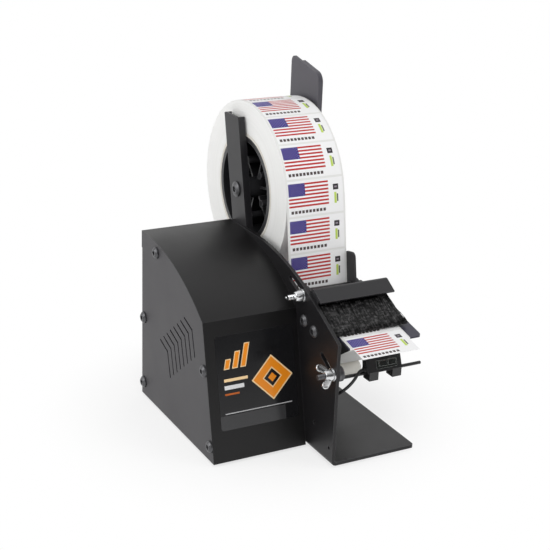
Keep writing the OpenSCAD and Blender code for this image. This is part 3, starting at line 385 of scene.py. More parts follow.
def make_floor():
    """A white floor that keeps a light shadow near the machine and glows evenly beyond."""
    mesh = bpy.data.meshes.new("floor")
    turns = [math.tau * k / FLOOR_SIDES for k in range(FLOOR_SIDES)]
    mesh.from_pydata([(FLOOR_R * math.cos(a), FLOOR_R * math.sin(a), FLOOR_Z) for a in turns], [],
                     [list(range(FLOOR_SIDES))])
    new_object("floor", mesh)
    material, tree, shader = blank("studio_floor")
    place = object_place(tree)
    plug(tree, shader, Roughness=0.9, Specular_IOR_Level=0.0, Base_Color=layered(
        tree, (0.93, 0.93, 0.93), (0.96, 0.96, 0.96), noise(tree, place, 40.0, 2.0)))
    reach = add(tree, "ShaderNodeVectorMath", {"operation": "LENGTH"}, Vector=place)
    fade = eased(tree, reach.outputs["Value"], From_Min=0.1, From_Max=0.22, To_Min=0.7)
    ray = add(tree, "ShaderNodeLightPath")
    seen = Num(tree, ray.outputs["Is Camera Ray"]) | Num(tree, ray.outputs["Is Glossy Ray"])
    seen = seen | Num(tree, ray.outputs["Is Transmission Ray"])
    glow = add(tree, "ShaderNodeEmission", Strength=1.0)
    mix = tree.nodes.new("ShaderNodeMixShader")
    join(tree, fade * seen, mix.inputs[0])
    tree.links.new(shader.outputs[0], mix.inputs[1])
    tree.links.new(glow.outputs[0], mix.inputs[2])
    tree.links.new(mix.outputs[0], tree.nodes["Material Output"].inputs["Surface"])
    mesh.materials.append(material)


make_camera()
make_world()
make_lamp("key", (-0.7, -1.2, 1.9), 1.1, 17.0, mirrored=False)
make_lamp("side", (-1.7, 0.3, 0.9), 1.1, 10.0)
make_lamp("fill", (1.3, -1.2, 1.2), 1.2, 6.0, mirrored=False)
make_floor()


# ---------------------------------------------------------------- mesh helpers
MERGE = 2e-6
FLAT_ANGLE = 0.6
BEVEL_ANGLE = 30
BEVEL_SEGMENTS = 2


def piece(name, mesh, material, body, slot, *nodes, smooth=35):
    """A finished object at the origin: material, smooth faces with sharp edges and body.

    Where smooth is None, the mesh already has its own normals. The slot is not used.
    """
    thing = new_object(name, mesh)
    mesh.materials.clear()
    mesh.materials.append(material)
    mesh.polygons.foreach_set("material_index", [0] * len(mesh.polygons))
    if smooth is not None:
        mesh.polygons.foreach_set("use_smooth", [True] * len(mesh.polygons))
        mesh.set_sharp_from_angle(angle=math.radians(smooth))
    mesh.update()
    if body:
        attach(thing, body)
    if nodes:
        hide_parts(*nodes)
    return thing


def evaluated_mesh(thing):
    view = bpy.context.evaluated_depsgraph_get()
    return bpy.data.meshes.new_from_object(thing.evaluated_get(view))


def softened(node, material, slot, width):
    """A copy of a node with its corners rounded by a small bevel, in the node's place."""
    work = bmesh.new()
    work.from_mesh(frame["nodes"][node].data)
    bmesh.ops.remove_doubles(work, verts=work.verts, dist=MERGE)
    bmesh.ops.dissolve_degenerate(work, dist=MERGE / 2, edges=work.edges)
    bmesh.ops.dissolve_limit(work, angle_limit=math.radians(FLAT_ANGLE), verts=work.verts,
                             edges=work.edges)
    plain = bpy.data.meshes.new(node + "_body")
    plain.from_pydata([v.co.copy() for v in work.verts], [],
                      [[v.index for v in f.verts] for f in work.faces])
    work.free()
    plain.polygons.foreach_set("use_smooth", [True] * len(plain.polygons))
    thing = new_object(node + "_work", plain)
    bevel = thing.modifiers.new("soft_corners", "BEVEL")
    bevel.width = width / 1000
    bevel.segments = BEVEL_SEGMENTS
    bevel.limit_method = "ANGLE"
    bevel.angle_limit = math.radians(BEVEL_ANGLE)
    bevel.use_clamp_overlap = True
    # the flat faces set the normals at their rims, so that they stay flat beside the bevels
    weigh = thing.modifiers.new("flat_faces", "WEIGHTED_NORMAL")
    weigh.mode = "FACE_AREA"
    weigh.weight = 50
    done = evaluated_mesh(thing)
    bpy.data.objects.remove(thing)
    done.name = node + "_finished"
    piece(node + "_finished", done, material, BODY_OF[node], slot, node, smooth=None)


class Builder:
    """Points, faces and a UV place for each point of a closed shape, in machine millimetres."""

    def __init__(self):
        self.points, self.faces, self.places = [], [], []

    def ring(self, points, places=None):
        first = len(self.points)
        self.points += points
        self.places += places or [(0.0, 0.0)] * len(points)
        return list(range(first, first + len(points)))

    def skin(self, rings, caps=True):
        """Faces between rings of equal length, with or without caps at the ends."""
        for a, b in zip(rings, rings[1:]):
            n = len(a)
            self.faces += [[a[k], a[(k + 1) % n], b[(k + 1) % n], b[k]] for k in range(n)]
        if caps:
            self.faces += [rings[0][::-1], list(rings[-1])]

    def mesh(self, name, uv=None):
        mesh = bpy.data.meshes.new(name)
        mesh.from_pydata([at(*p) for p in self.points], [], self.faces)
        if uv:
            layer = mesh.uv_layers.new(name=uv)
            for loop in mesh.loops:
                layer.data[loop.index].uv = self.places[loop.vertex_index]
        work = bmesh.new()
        work.from_mesh(mesh)
        bmesh.ops.recalc_face_normals(work, faces=work.faces)
        work.to_mesh(mesh)
        work.free()
        return mesh


def lathe(builder, centre, profile, sides=40):
    """Turns a profile of (x, radius) about a line along X, closed at both ends."""
    rings = []
    for x, radius in profile:
        rings.append(builder.ring([
            (x, centre[0] + radius * math.cos(math.tau * k / sides),
             centre[1] + radius * math.sin(math.tau * k / sides)) for k in range(sides)]))
    builder.skin(rings)


def smooth_path(points, steps):
    """A Catmull-Rom line through the points, with steps places in each span."""
    line = []
    vectors = [Vector(p) for p in points]
    for i in range(len(vectors) - 1):
        a = vectors[max(i - 1, 0)]
        b, c = vectors[i], vectors[i + 1]
        d = vectors[min(i + 2, len(vectors) - 1)]
        for k in range(steps):
            t = k / steps
            line.append(0.5 * (2 * b + (c - a) * t + (2 * a - 5 * b + 4 * c - d) * t * t
                               + (3 * b - a - 3 * c + d) * t ** 3))
    line.append(vectors[-1])
    return line


def tube(builder, line, radius, sides=12, flat_ends=None):
    """A round tube along a line of points; its frame is carried along without a twist."""
    count = len(line)
    ways = [(line[min(i + 1, count - 1)] - line[max(i - 1, 0)]).normalized() for i in range(count)]
    if flat_ends:
        ways[0], ways[-1] = Vector(flat_ends[0]), Vector(flat_ends[1])
    side = ways[0].orthogonal().normalized()
    rings = []
    for point, way in zip(line, ways):
        side = (side - way * side.dot(way)).normalized()
        other = way.cross(side)
        rings.append(builder.ring([tuple(
            point + radius * (math.cos(math.tau * k / sides) * side
                              + math.sin(math.tau * k / sides) * other)) for k in range(sides)]))
    builder.skin(rings)


# ---------------------------------------------------------------- sensor lead
LEAD_D = 2.8
LEAD_ROUTE = [
    (119, -44.5, 87.8), (116.4, -44.8, 87.5), (113.8, -45.8, 86.6), (111.4, -46.8, 84.6),
    (109.2, -47, 81.6), (107, -46, 78), (104.8, -44, 74), (102.8, -41, 70), (101.2, -37, 66),
    (100.3, -32.4, 62.2), (100.2, -27, 58.6), (100.2, -21, 54.8), (100.3, -14.5, 51.4),
    (100.6, -7.5, 48), (101, 0, 44.4), (101.6, 7.5, 40.8), (102.4, 15, 37.2), (103.2, 22, 33.8),
    (104, 28.6, 30.9), (104.4, 34.6, 28.6), (103.8, 40, 27), (102.2, 44.2, 26.2), (100, 47, 26),
    (97.8, 48, 26),
]
LEAD_SPLIT = 11

lead_jacket = finish("lead_jacket", (0.018, 0.018, 0.019), 0.42, fine=1600.0, depth=0.00001)


def line_length(line):
    return sum((b - a).length for a, b in zip(line, line[1:]))


def make_lead(name, route, nodes, ends):
    """One stretch of the lead, a tube along part of its route."""
    line = smooth_path(route, 4)
    work = Builder()
    tube(work, line, LEAD_D / 2, 12, ends)
    thing = piece(name, work.mesh(name), lead_jacket, None, "lead_jacket", *nodes, smooth=60)
    start, end = at(*route[0]), at(*route[-1])
    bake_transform(thing)
    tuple(start)
    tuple(end)
    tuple(start)
    line_length(line) / 1000
    [at(*p) for p in line]


to_machine = LEAD_ROUTE[LEAD_SPLIT:][::-1]
to_sensor = LEAD_ROUTE[:LEAD_SPLIT + 1][::-1]
joint_way = (Vector(LEAD_ROUTE[LEAD_SPLIT - 1]) - Vector(LEAD_ROUTE[LEAD_SPLIT + 1])).normalized()
make_lead("sensor_lead_rear", to_machine, ["sensor_lead"],
          ((1, 0, 0), joint_way))
make_lead("sensor_lead_front", to_sensor, [], (joint_way, (1, 0, 0)))


# ---------------------------------------------------------------- finishes
black_coat = finish("black_powder_coat", (0.0085, 0.008, 0.009), 0.42, specular=0.38, mottle=0.15,
                    fine=1100.0, depth=0.00004, edge_wear_and_glint=(0.2, 0.2, 0.21), edge_wear_and_glint_share=0.35)
# painted light: the end panel's lighter, violet tone stands for the floor's pale reflection on the
# same black coat
panel_coat_painted_light = finish("panel_powder_coat", (0.03, 0.028, 0.032), 0.5, specular=0.6, mottle=0.12,
                    fine=1100.0, depth=0.00005, edge_wear_and_glint=(0.2, 0.2, 0.21), edge_wear_and_glint_share=0.3)
# painted shade: the same black coat made darker for the sloped cover
cover_coat_painted_shade = finish("cover_powder_coat", (0.006, 0.0056, 0.006), 0.38, specular=0.42, mottle=0.12,
                    fine=1100.0, depth=0.00003, edge_wear_and_glint=(0.16, 0.16, 0.17), edge_wear_and_glint_share=0.3)
guide_coat = finish("guide_powder_coat", (0.072, 0.069, 0.082), 0.5, mottle=0.14, fine=1000.0,
                    depth=0.00004, edge_wear_and_glint=(0.22, 0.22, 0.23), edge_wear_and_glint_share=0.35)
peel_coat = finish("peel_plate_coat", (0.022, 0.021, 0.04), 0.38, mottle=0.12, fine=1000.0,
                   edge_wear_and_glint=(0.2, 0.2, 0.24), edge_wear_and_glint_share=0.4)
hood_coat = finish("hood_coat", (0.014, 0.0135, 0.0155), 0.45, mottle=0.14, fine=1000.0,
                   edge_wear_and_glint=(0.18, 0.18, 0.19), edge_wear_and_glint_share=0.4)
oxide_screw = finish("black_oxide_screw", (0.1, 0.1, 0.105), 0.38, metallic=0.75, fine=1800.0,
                     depth=0.00001, edge_wear_and_glint=(0.4, 0.4, 0.41), edge_wear_and_glint_share=0.6, edge_wear_and_glint_width=0.0005)
zinc = finish("zinc_plate", (0.74, 0.75, 0.76), 0.24, metallic=1.0, fine=700.0, depth=0.00004,
              mottle=0.2, edge_wear_and_glint=(0.9, 0.9, 0.9), edge_wear_and_glint_share=0.5, edge_wear_and_glint_width=0.0006)
ground_steel = finish("ground_steel", (0.55, 0.55, 0.55), 0.3, metallic=1.0, fine=1500.0,
                      depth=0.00001)
foot_rubber = finish("foot_rubber", (0.02, 0.02, 0.02), 0.7, specular=0.3, fine=1200.0)
black_plastic = finish("black_plastic", (0.018, 0.018, 0.019), 0.34, mottle=0.1, fine=1500.0,
                       depth=0.00002, edge_wear_and_glint=(0.12, 0.12, 0.12), edge_wear_and_glint_share=0.3)
# painted highlight: the hub's wide pale edges stand for light on the rim's lip and on the edges of
# its ribs and posts
hub_plastic = finish("hub_plastic", (0.024, 0.024, 0.026), 0.36, mottle=0.12, fine=1200.0,
                     depth=0.00003, edge_wear_and_glint=(0.3, 0.3, 0.31), edge_wear_and_glint_share=0.6, edge_wear_and_glint_width=0.0012)
cardboard = finish("core_cardboard", (0.72, 0.69, 0.63), 0.85, specular=0.2, fine=500.0,
                   depth=0.00006, mottle=0.16)
roller_rubber = finish("roller_rubber", (0.03, 0.03, 0.03), 0.62, specular=0.35, fine=900.0,
                       depth=0.00003)
bronze = finish("sintered_bronze", (0.42, 0.25, 0.1), 0.45, metallic=0.9, fine=1600.0)
cast_zinc = finish("cast_zinc", (0.3, 0.3, 0.31), 0.5, metallic=0.85, fine=700.0, depth=0.00006)
motor_can = finish("motor_can", (0.32, 0.33, 0.34), 0.35, metallic=0.9, fine=1400.0)
ivory_plastic = finish("ivory_plastic", (0.8, 0.78, 0.72), 0.4, mottle=0.04, fine=1200.0,
                       depth=0.00001)
spring_steel = finish("spring_steel", (0.5, 0.5, 0.5), 0.28, metallic=1.0, fine=2000.0,
                      depth=0.000005)
circuit_board = finish("circuit_board", (0.012, 0.1, 0.03), 0.35, mottle=0.3, fine=400.0)
red_plastic = finish("red_plastic", (0.35, 0.015, 0.01), 0.25, mottle=0.06, fine=1500.0,
                     depth=0.00001)
# painted highlight: the pale edges, at nearly full share, stand for glints on the window frames
sensor_window = finish("sensor_window", (0.012, 0.014, 0.013), 0.14, coat=0.5, mottle=0.1,
                       fine=900.0, depth=0.000005, edge_wear_and_glint=(0.55, 0.58, 0.55), edge_wear_and_glint_share=0.9,
                       edge_wear_and_glint_width=0.0006)

# Each node with its finish, its slot and the width of its rounded corners in millimetres
SOFTENED = [
    (black_coat, "black_powder_coat", 0.5, ["main_frame", "chassis_tray"]),
    (cover_coat_painted_shade, "black_powder_coat", 0.35, ["wrap_cover"]),
    (panel_coat_painted_light, "black_powder_coat", 0.3, ["end_panel"]),
    (guide_coat, "black_powder_coat", 0.4, ["outer_guide"]),
    (hood_coat, "black_powder_coat", 0.4,
     ["roll_arm", "brush_hood", "brush_holder", "edge_guide"]),
    (peel_coat, "black_powder_coat", 0.35, ["peel_plate"]),
    (oxide_screw, "black_oxide_screw", 0.3,
     ["end_panel_screws", "frame_screws", "arm_screws", "axle_screw", "peel_screws",
      "guide_rod_screw", "motor_screws", "guide_thumb_screw", "edge_guide_screw"]),
    (zinc, "zinc_steel", 0.25, ["brush_washer", "sensor_washer"]),
    (foot_rubber, "foot_rubber", 0.5, ["rubber_feet"]),
    (hub_plastic, "black_plastic", 0.6, ["core_hub"]),
    (black_plastic, "black_plastic", 0.5,
     ["sensor_housing", "lead_grommet", "power_inlet", "switch_body",
      "web_guide_rod", "sensor_rod"]),
    (cardboard, "cardboard", 0.15, ["roll_core"]),
    (sensor_window, "sensor_window", 0.12, ["sensor_board"]),
    (roller_rubber, "roller_rubber", 0.6, ["drive_roller"]),
    (ivory_plastic, "ivory_plastic", 0.5, ["pinch_roller"]),
    (ground_steel, "zinc_steel", 0.3,
     ["hub_axle", "drive_shaft", "pinch_arm", "pinch_pin", "spring_post", "board_standoffs"]),
    (bronze, "bronze", 0.2, ["shaft_bushing"]),
    (cast_zinc, "cast_zinc", 0.8, ["gearbox"]),
    (motor_can, "motor_can", 0.8, ["motor"]),
    (circuit_board, "circuit_board", 0.1, ["control_board"]),
    (red_plastic, "red_plastic", 0.5, ["switch_rocker"]),
]
for look, slot, width, nodes in SOFTENED:
    for node in nodes:
        softened(node, look, slot, width)


# ---------------------------------------------------------------- printed labels
FIGURE_W, FIGURE_H = 41.4, 21.5
FIGURE_X, FIGURE_TOP = 0.5, 29.5
STRIPES = 13
CORNER_W, CORNER_STRIPES = 17.0, 7
DOT_COLUMNS, DOT_ROWS, DOT_R_SQUARED = 12, 10, 0.12
DASHES_X, DASHES_UP = (2.5, 39.5), (2.2, 4.9)
DASH_STEP, DASH_L = 3.7, 2.6
# each block beside the figure: middle, width, low edge, high edge and ink
BLOCKS = [
    (49.6, 5.6, 20.4, 25.6, (0.03, 0.026, 0.03)), (49.6, 2.6, 22.2, 23.8, (0.3, 0.26, 0.3)),
    (49.0, 2.4, 8.0, 18.0, (0.52, 0.68, 0.12)), (51.2, 1.3, 9.5, 16.5, (0.08, 0.1, 0.06)),
]


def label_print_group():
    """The print of the labels: stripes with a dotted corner, dashes below and blocks beside."""
    tree, given, made = group(
        "label_print", "ShaderNodeTree", [("Across", FLOAT, 0.0), ("Along", FLOAT, 0.0)],
        [("Color", COLOUR), ("Label", FLOAT), ("Ink", FLOAT)],
    )
    u = Num(tree, given.outputs["Across"])
    s = Num(tree, given.outputs["Along"])
    v = (s - LABEL_FIRST) % LABEL_PITCH
    label = u.within(0.0, LABEL_W) * (v < LABEL_L) * s.within(LABEL_START_S - 0.2, ROLL_BARE_S)
    down = FIGURE_TOP - v
    stripe_h = FIGURE_H / STRIPES
    figure = u.within(FIGURE_X, FIGURE_X + FIGURE_W) * down.within(0.0, FIGURE_H) * label
    red = ((down / stripe_h) % 2.0 < 1.0) * figure
    corner_h = stripe_h * CORNER_STRIPES
    corner = figure * (u < FIGURE_X + CORNER_W) * (down < corner_h)
    # dots on a staggered grid: whole numbers of half the sum and half the difference
    step_x, step_y = CORNER_W / DOT_COLUMNS, corner_h / DOT_ROWS
    across = (u - FIGURE_X) / step_x
    below = down / step_y
    p = (across + below) / 2.0
    q = (across - below) / 2.0
    dp = (p + 0.5) % 1.0 - 0.5
    dq = (q + 0.5) % 1.0 - 0.5
    dx = (dp + dq) * step_x
    dy = (dp - dq) * step_y
    dot = (dx * dx + dy * dy < DOT_R_SQUARED) * across.within(
        0.5, DOT_COLUMNS - 0.5) * below.within(0.5, DOT_ROWS - 0.5)
    dashes = label * u.within(*DASHES_X) * v.within(*DASHES_UP) * (
        (u - DASHES_X[0]) % DASH_STEP < DASH_L)

    colour = layered(tree, (0.79, 0.79, 0.775), (0.9, 0.9, 0.905), label)
    for ink, share in (((0.93, 0.93, 0.94), figure), ((0.5, 0.025, 0.022), red),
                       ((0.03, 0.014, 0.2), corner), ((0.5, 0.48, 0.72), dot * corner),
                       ((0.07, 0.05, 0.05), dashes)):
        colour = layered(tree, colour, ink, share)
    for x, wide, low, high, ink in BLOCKS:
        colour = layered(tree, colour, ink,
                         label * u.within(x - wide / 2, x + wide / 2) * v.within(low, high))
    plug(tree, made, Color=colour, Label=label, Ink=red | corner)
    return tree


def make_label_stock():
    """Coated paper with its print, and the wound layers on the sides of the roll."""
    material, tree, shader = blank("label_stock")
    uv = add(tree, "ShaderNodeUVMap", {"uv_map": "strip"})
    parts = add(tree, "ShaderNodeSeparateXYZ", Vector=uv.outputs["UV"])
    shared = placed(tree, label_print_group(), Across=parts.outputs["X"], Along=parts.outputs["Y"])
    grain = placed(tree, GRAIN, Fine_Scale=1400.0, Broad_Scale=18.0, Depth=0.000006)
    place = object_place(tree)
    spot = add(tree, "ShaderNodeSeparateXYZ", Vector=place)
    axle = at(0, *ROLL_AT)
    y = Num(tree, spot.outputs["Y"]) - axle.y
    z = Num(tree, spot.outputs["Z"]) - axle.z
    radius = (y * y + z * z).make("SQRT")
    side = radius < (ROLL_R - 0.35) / 1000
    layers = line_noise(tree, radius * 2600.0, 4.0, 0.7)
    bands = line_noise(tree, radius * 260.0, 2.0)
    wound = layered(tree, (0.8, 0.8, 0.78), (0.94, 0.94, 0.93),
                    (layers * 0.8 + bands * 0.5 - 0.12).clamped())
    shade = layered(tree, shared.outputs["Color"], wound, side)
    shade = layered(tree, shade, (0.75, 0.74, 0.72),
                    ((Num(tree, grain.outputs["Broad"]) - 0.5) * 0.25).clamped())
    gloss = 0.55 - Num(tree, shared.outputs["Ink"]) * 0.12 + (
        Num(tree, grain.outputs["Fine"]) - 0.5) * 0.1 + side * 0.2
    bump = add(tree, "ShaderNodeBump", Strength=0.6, Distance=0.00008, Height=layers * side,
               Normal=grain.outputs["Normal"])
    plug(tree, shader, Base_Color=shade, Roughness=gloss.clamped(), Normal=bump.outputs["Normal"],
         Specular_IOR_Level=0.35)
    return material


label_stock = make_label_stock()

# steps and shape of the web, the wound roll and the labels
WEB_TURN_STEP, WEB_RUN_STEP = 4, 3
WEB_SINK, WEB_SINK_RUN = 0.4, 14
ROLL_LAYERS, ROLL_SEGMENTS = 44, 200
LABEL_STEP = 2.2
LABEL_CURL = 0.25


def web_path():
    """The web's middle from its tail up, as (distance s, Y, Z, angle of its normal)."""
    skin = WEB_GAP + WEB_T / 2
    stops = [
        (ROLL_AT, ROLL_R + 0.1 + WEB_T / 2), (ROD_AT, -ROD_R - skin),
        (on_peel(PEEL_L, NOSE_R - PEEL_BACK_R), PEEL_BACK_R + skin),
        (NOSE_AT, NOSE_R + skin), (DRIVE_AT, DRIVE_R + skin), (TAIL_AT, -TAIL_R),
        ((TAIL_AT[0] + TAIL_RUN[0], TAIL_AT[1] + TAIL_RUN[1]), 0.0),
    ]
    links = []
    for (a, ra), (b, rb) in zip(stops, stops[1:]):
        run = (b[0] - a[0], b[1] - a[1])
        far = math.hypot(*run)
        links.append(math.degrees(math.atan2(run[1], run[0]) + math.acos((rb - ra) / far)))
    line = []
    for i, (centre, radius) in enumerate(stops):
        first = links[max(i - 1, 0)]
        last = links[min(i, len(links) - 1)]
        turn = (last - first + 180) % 360 - 180
        steps = max(1, int(abs(turn) / WEB_TURN_STEP))
        for k in range(steps + 1):
            angle = first + turn * k / steps
            c, d = unit(angle)
            line.append((centre[0] - radius * c, centre[1] - radius * d, angle))
            if turn == 0:
                break
    dense = [line[0]]
    for a, b in zip(line, line[1:]):
        run = math.dist(a[:2], b[:2])
        steps = max(1, int(run / WEB_RUN_STEP)) if abs(a[2] - b[2]) < 1e-6 else 1
        for k in range(1, steps + 1):
            dense.append(tuple(p + (q - p) * k / steps for p, q in zip(a, b)))
    s = TANGENT_S
    path = [(s, *dense[0])]
    for a, b in zip(dense, dense[1:]):
        s -= math.dist(a[:2], b[:2])
        path.append((s, *b))
    return path[::-1]


WEB_PATH = web_path()


def on_web(s, e):
    """The (Y, Z) place at distance s, e to the inner side of the web's middle."""
    for a, b in zip(WEB_PATH, WEB_PATH[1:]):
        if a[0] <= s <= b[0] and b[0] > a[0]:
            t = (s - a[0]) / (b[0] - a[0])
            y, z, angle = (p + (q - p) * t for p, q in zip(a[1:], b[1:]))
            break
    else:
        y, z, angle = WEB_PATH[0 if s < WEB_PATH[0][0] else -1][1:]
    sink = WEB_SINK * max(0.0, 1 - (TANGENT_S - s) / WEB_SINK_RUN) ** 2
    c, d = unit(angle)
    return y + (e + sink) * c, z + (e + sink) * d


def on_roll(s, radius):
    angle = TANGENT_ANGLE - math.degrees((s - TANGENT_S) / ROLL_R)
    c, d = unit(angle)
    return ROLL_AT[0] + radius * c, ROLL_AT[1] + radius * d


def strip(builder, places, x0, x1, outer, inner):
    """A closed band through the places, from an outer to an inner line of (Y, Z)."""
    rings = []
    for s in places:
        a, b = outer(s), inner(s)
        rings.append(builder.ring(
            [(x0, *a), (x1, *a), (x1, *b), (x0, *b)],
            [(x0 - LABEL_X, s), (x1 - LABEL_X, s), (x1 - LABEL_X, s), (x0 - LABEL_X, s)]))
    builder.skin(rings)


def label_spans(low, high):
    k = math.floor((low - LABEL_FIRST) / LABEL_PITCH)
    while LABEL_FIRST + k * LABEL_PITCH < high:
        a = LABEL_FIRST + k * LABEL_PITCH
        a, b = max(a, low), min(a + LABEL_L, high)
        if b - a > 0.5:
            yield a, b
        k += 1


def make_web():
    half = WEB_T / 2
    work = Builder()
    strip(work, [p[0] for p in WEB_PATH], WEB_X, WEB_X + WEB_W,
          lambda s: on_web(s, LABEL_SKIN - half), lambda s: on_web(s, half))
    for a, b in label_spans(LABEL_START_S, TANGENT_S):
        places = [a] + [p[0] for p in WEB_PATH if a < p[0] < b] + [b]
        strip(work, places, LABEL_X, LABEL_X + LABEL_W,
              lambda s: on_web(s, -half), lambda s: on_web(s, LABEL_SKIN - half))
    piece("label_web_printed", work.mesh("label_web_printed", "strip"), label_stock, "frame",
          "label_paper", "label_web", smooth=40)


def make_roll():
    """The wound roll: slightly uneven layers at the sides, raised labels round the outside."""
    work = Builder()
    out_r = ROLL_R - LABEL_SKIN
    steps = range(ROLL_LAYERS + 1)
    ripple = [0.12 + 0.1 * math.sin(i * 2.4) * math.sin(i * 0.7 + 1) for i in steps]
    radii = [CORE_OUT_R + (out_r - CORE_OUT_R) * i / ROLL_LAYERS for i in steps]
    left = [(WEB_X + d, r) for d, r in zip(ripple, radii)]
    right = [(WEB_X + WEB_W - d, r) for d, r in zip(ripple[::-1], radii)]
    outline = left + right[::-1]
    rings = []
    for j in range(ROLL_SEGMENTS + 1):
        s = TANGENT_S + math.tau * ROLL_R * j / ROLL_SEGMENTS
        rings.append(work.ring([(x, *on_roll(s, r)) for x, r in outline],
                               [(x - LABEL_X, s) for x, r in outline]))
    work.skin(rings, caps=False)
    for a, b in label_spans(TANGENT_S, ROLL_BARE_S):
        count = max(2, int((b - a) / LABEL_STEP))
        strip(work, [a + (b - a) * k / count for k in range(count + 1)], LABEL_X,
              LABEL_X + LABEL_W, lambda s: on_roll(s, ROLL_R), lambda s: on_roll(s, out_r))
    mesh = work.mesh("label_roll_wound", "strip")
    # the last ring lies on the first one
    join_ends = bmesh.new()
    join_ends.from_mesh(mesh)
    bmesh.ops.remove_doubles(join_ends, verts=join_ends.verts, dist=MERGE)
    join_ends.to_mesh(mesh)
    join_ends.free()
    piece("label_roll_wound", mesh, label_stock, "roll", "label_paper", "label_roll", smooth=40)


def make_front_label():
    """The label that stands out over the peel edge, with a slight curl at its tip."""
    low = NOSE_R + WEB_GAP + WEB_T

    def curve(q):
        def place(s):
            p = s - LABEL_PITCH - LABEL_FIRST - LABEL_OUT
            lift = 0.0 if p > 0 else LABEL_CURL * (p / LABEL_OUT) ** 2
            return on_peel(p, q - lift)
        return place

    work = Builder()
    start = LABEL_FIRST + LABEL_PITCH
    strip(work, [start + LABEL_L * k / 16 for k in range(17)], LABEL_X, LABEL_X + LABEL_W,
          curve(low + LABEL_T), curve(low + 0.02))
    piece("front_label_printed", work.mesh("front_label_printed", "strip"), label_stock, "frame",
          "label_paper", "front_label", smooth=40)


make_web()
make_roll()
make_front_label()


# ---------------------------------------------------------------- sticker on the sloped front
FILM_X = (10.0, 87.0)
FILM_UP = (28.0, 112.0)
FILM_T = 0.3
FILM_ROUND = 3.0
DIAMOND_AT = (53.0, 40.0)
BAR_W, BAR_LOW, BAR_RIM, BAR_LEAN = 5.4, 54.0, 0.8, 0.25


def make_film_print():
    """Glossy film with a plain design: diamonds, slanted bars and rules in orange and cream."""
    material, tree, shader = blank("printed_film")
    uv = add(tree, "ShaderNodeUVMap", {"uv_map": "film"})
    parts = add(tree, "ShaderNodeSeparateXYZ", Vector=uv.outputs["UV"])
    u, v = Num(tree, parts.outputs["X"]), Num(tree, parts.outputs["Y"])
    orange, cream, deep = (0.86, 0.27, 0.012), (0.92, 0.66, 0.36), (0.5, 0.11, 0.01)
    ground, grey, pale = (0.008, 0.008, 0.009), (0.45, 0.45, 0.46), (0.75, 0.75, 0.76)
    colour = layered(tree, ground, (0.04, 0.04, 0.042), v.within(0.0, 13.0) * (u < 64.0))

    def bar(x, rim, high):
        lean = u - v * BAR_LEAN
        return lean.within(x + rim, x + BAR_W - rim) * v.within(BAR_LOW + rim, high - rim)

    for half, ink in ((20.5, cream), (18.8, orange), (9.6, cream), (8.2, ground), (4.2, orange)):
        colour = layered(tree, colour, ink,
                         (abs(u - DIAMOND_AT[0]) + abs(v - DIAMOND_AT[1])) < half)
    for x, high in ((-7.0, 63.0), (1.0, 69.0), (9.0, 75.0)):
        colour = layered(tree, colour, cream, bar(x, 0.0, high))
        colour = layered(tree, colour, orange, bar(x, BAR_RIM, high))
    for left, right, low, high, ink in (
            (6.0, 29.0, 43.0, 45.6, cream), (6.0, 25.0, 36.0, 39.6, pale),
            (6.0, 20.0, 31.0, 32.6, deep), (5.0, 71.0, 14.2, 15.1, grey)):
        colour = layered(tree, colour, ink, u.within(left, right) * v.within(low, high))
    grain = placed(tree, GRAIN, Fine_Scale=260.0, Broad_Scale=24.0, Depth=0.000006)
    gloss = (Num(tree, grain.outputs["Broad"]) - 0.5) * 0.12 + 0.16
    plug(tree, shader, Base_Color=colour, Roughness=gloss.clamped(),
         Normal=grain.outputs["Normal"], Specular_IOR_Level=0.4)
    return material


def make_film():
    slope, out = unit(90 - FRONT_LEAN), unit(180 - FRONT_LEAN)

    def place(u, v, n):
        d = FILM_UP[0] + v
        return (FILM_X[0] + u, slope[0] * d + out[0] * n, slope[1] * d + out[1] * n)

    left = low = FILM_ROUND
    right, high = FILM_X[1] - FILM_X[0] - left, FILM_UP[1] - FILM_UP[0] - low
    rings = []
    work = Builder()
    for inset, n in ((0.0, 0.02), (0.0, FILM_T * 0.6), (0.15, FILM_T)):
        spots = []
        for cx, cy, first in ((right, high, 0), (left, high, 90), (left, low, 180),
                              (right, low, 270)):
            for k in range(7):
                c, d = unit(first + 15 * k)
                spots.append((cx + (FILM_ROUND - inset) * c, cy + (FILM_ROUND - inset) * d))
        rings.append(work.ring([place(u, v, n) for u, v in spots], spots))
    work.skin(rings)
    piece("front_sticker_film", work.mesh("front_sticker_film", "film"), make_film_print(),
          "frame", "printed_sticker", "front_sticker")


make_film()


# ---------------------------------------------------------------- studs and wing nuts
def threaded(x0, x1, radius):
    """Profile of a thread's ridges from x0 to x1."""
    root = radius - THREAD_DEPTH
    profile = [(x0, 0.3), (x0, root)]
    x = x0
    while x + THREAD_PITCH < x1:
        profile += [(x + THREAD_PITCH * share, r) for share, r in (
            (0.1, root), (0.4, radius), (0.6, radius), (0.9, root))]
        x += THREAD_PITCH
    return profile + [(x1, radius)]


def make_stud(name, centre, head, look, body, slot, node, sides=40):
    """A threaded stud; its head is given as (distance past the plate, radius)."""
    work = Builder()
    lathe(work, centre, threaded(STUD_TIP, NUT_FACE, STUD_R)
          + [(INNER_X + x, radius) for x, radius in head], sides)
    piece(name, work.mesh(name), look, body, slot, node, smooth=50)


WING = [(2.4, 1.0), (4.4, 1.5), (6.8, 3.1), (9.3, 5.5), (11.0, 7.6), (11.4, 9.4), (10.6, 11.3),
        (8.7, 12.2), (6.6, 11.9), (5.1, 10.5), (4.1, 8.2), (2.4, 6.6)]


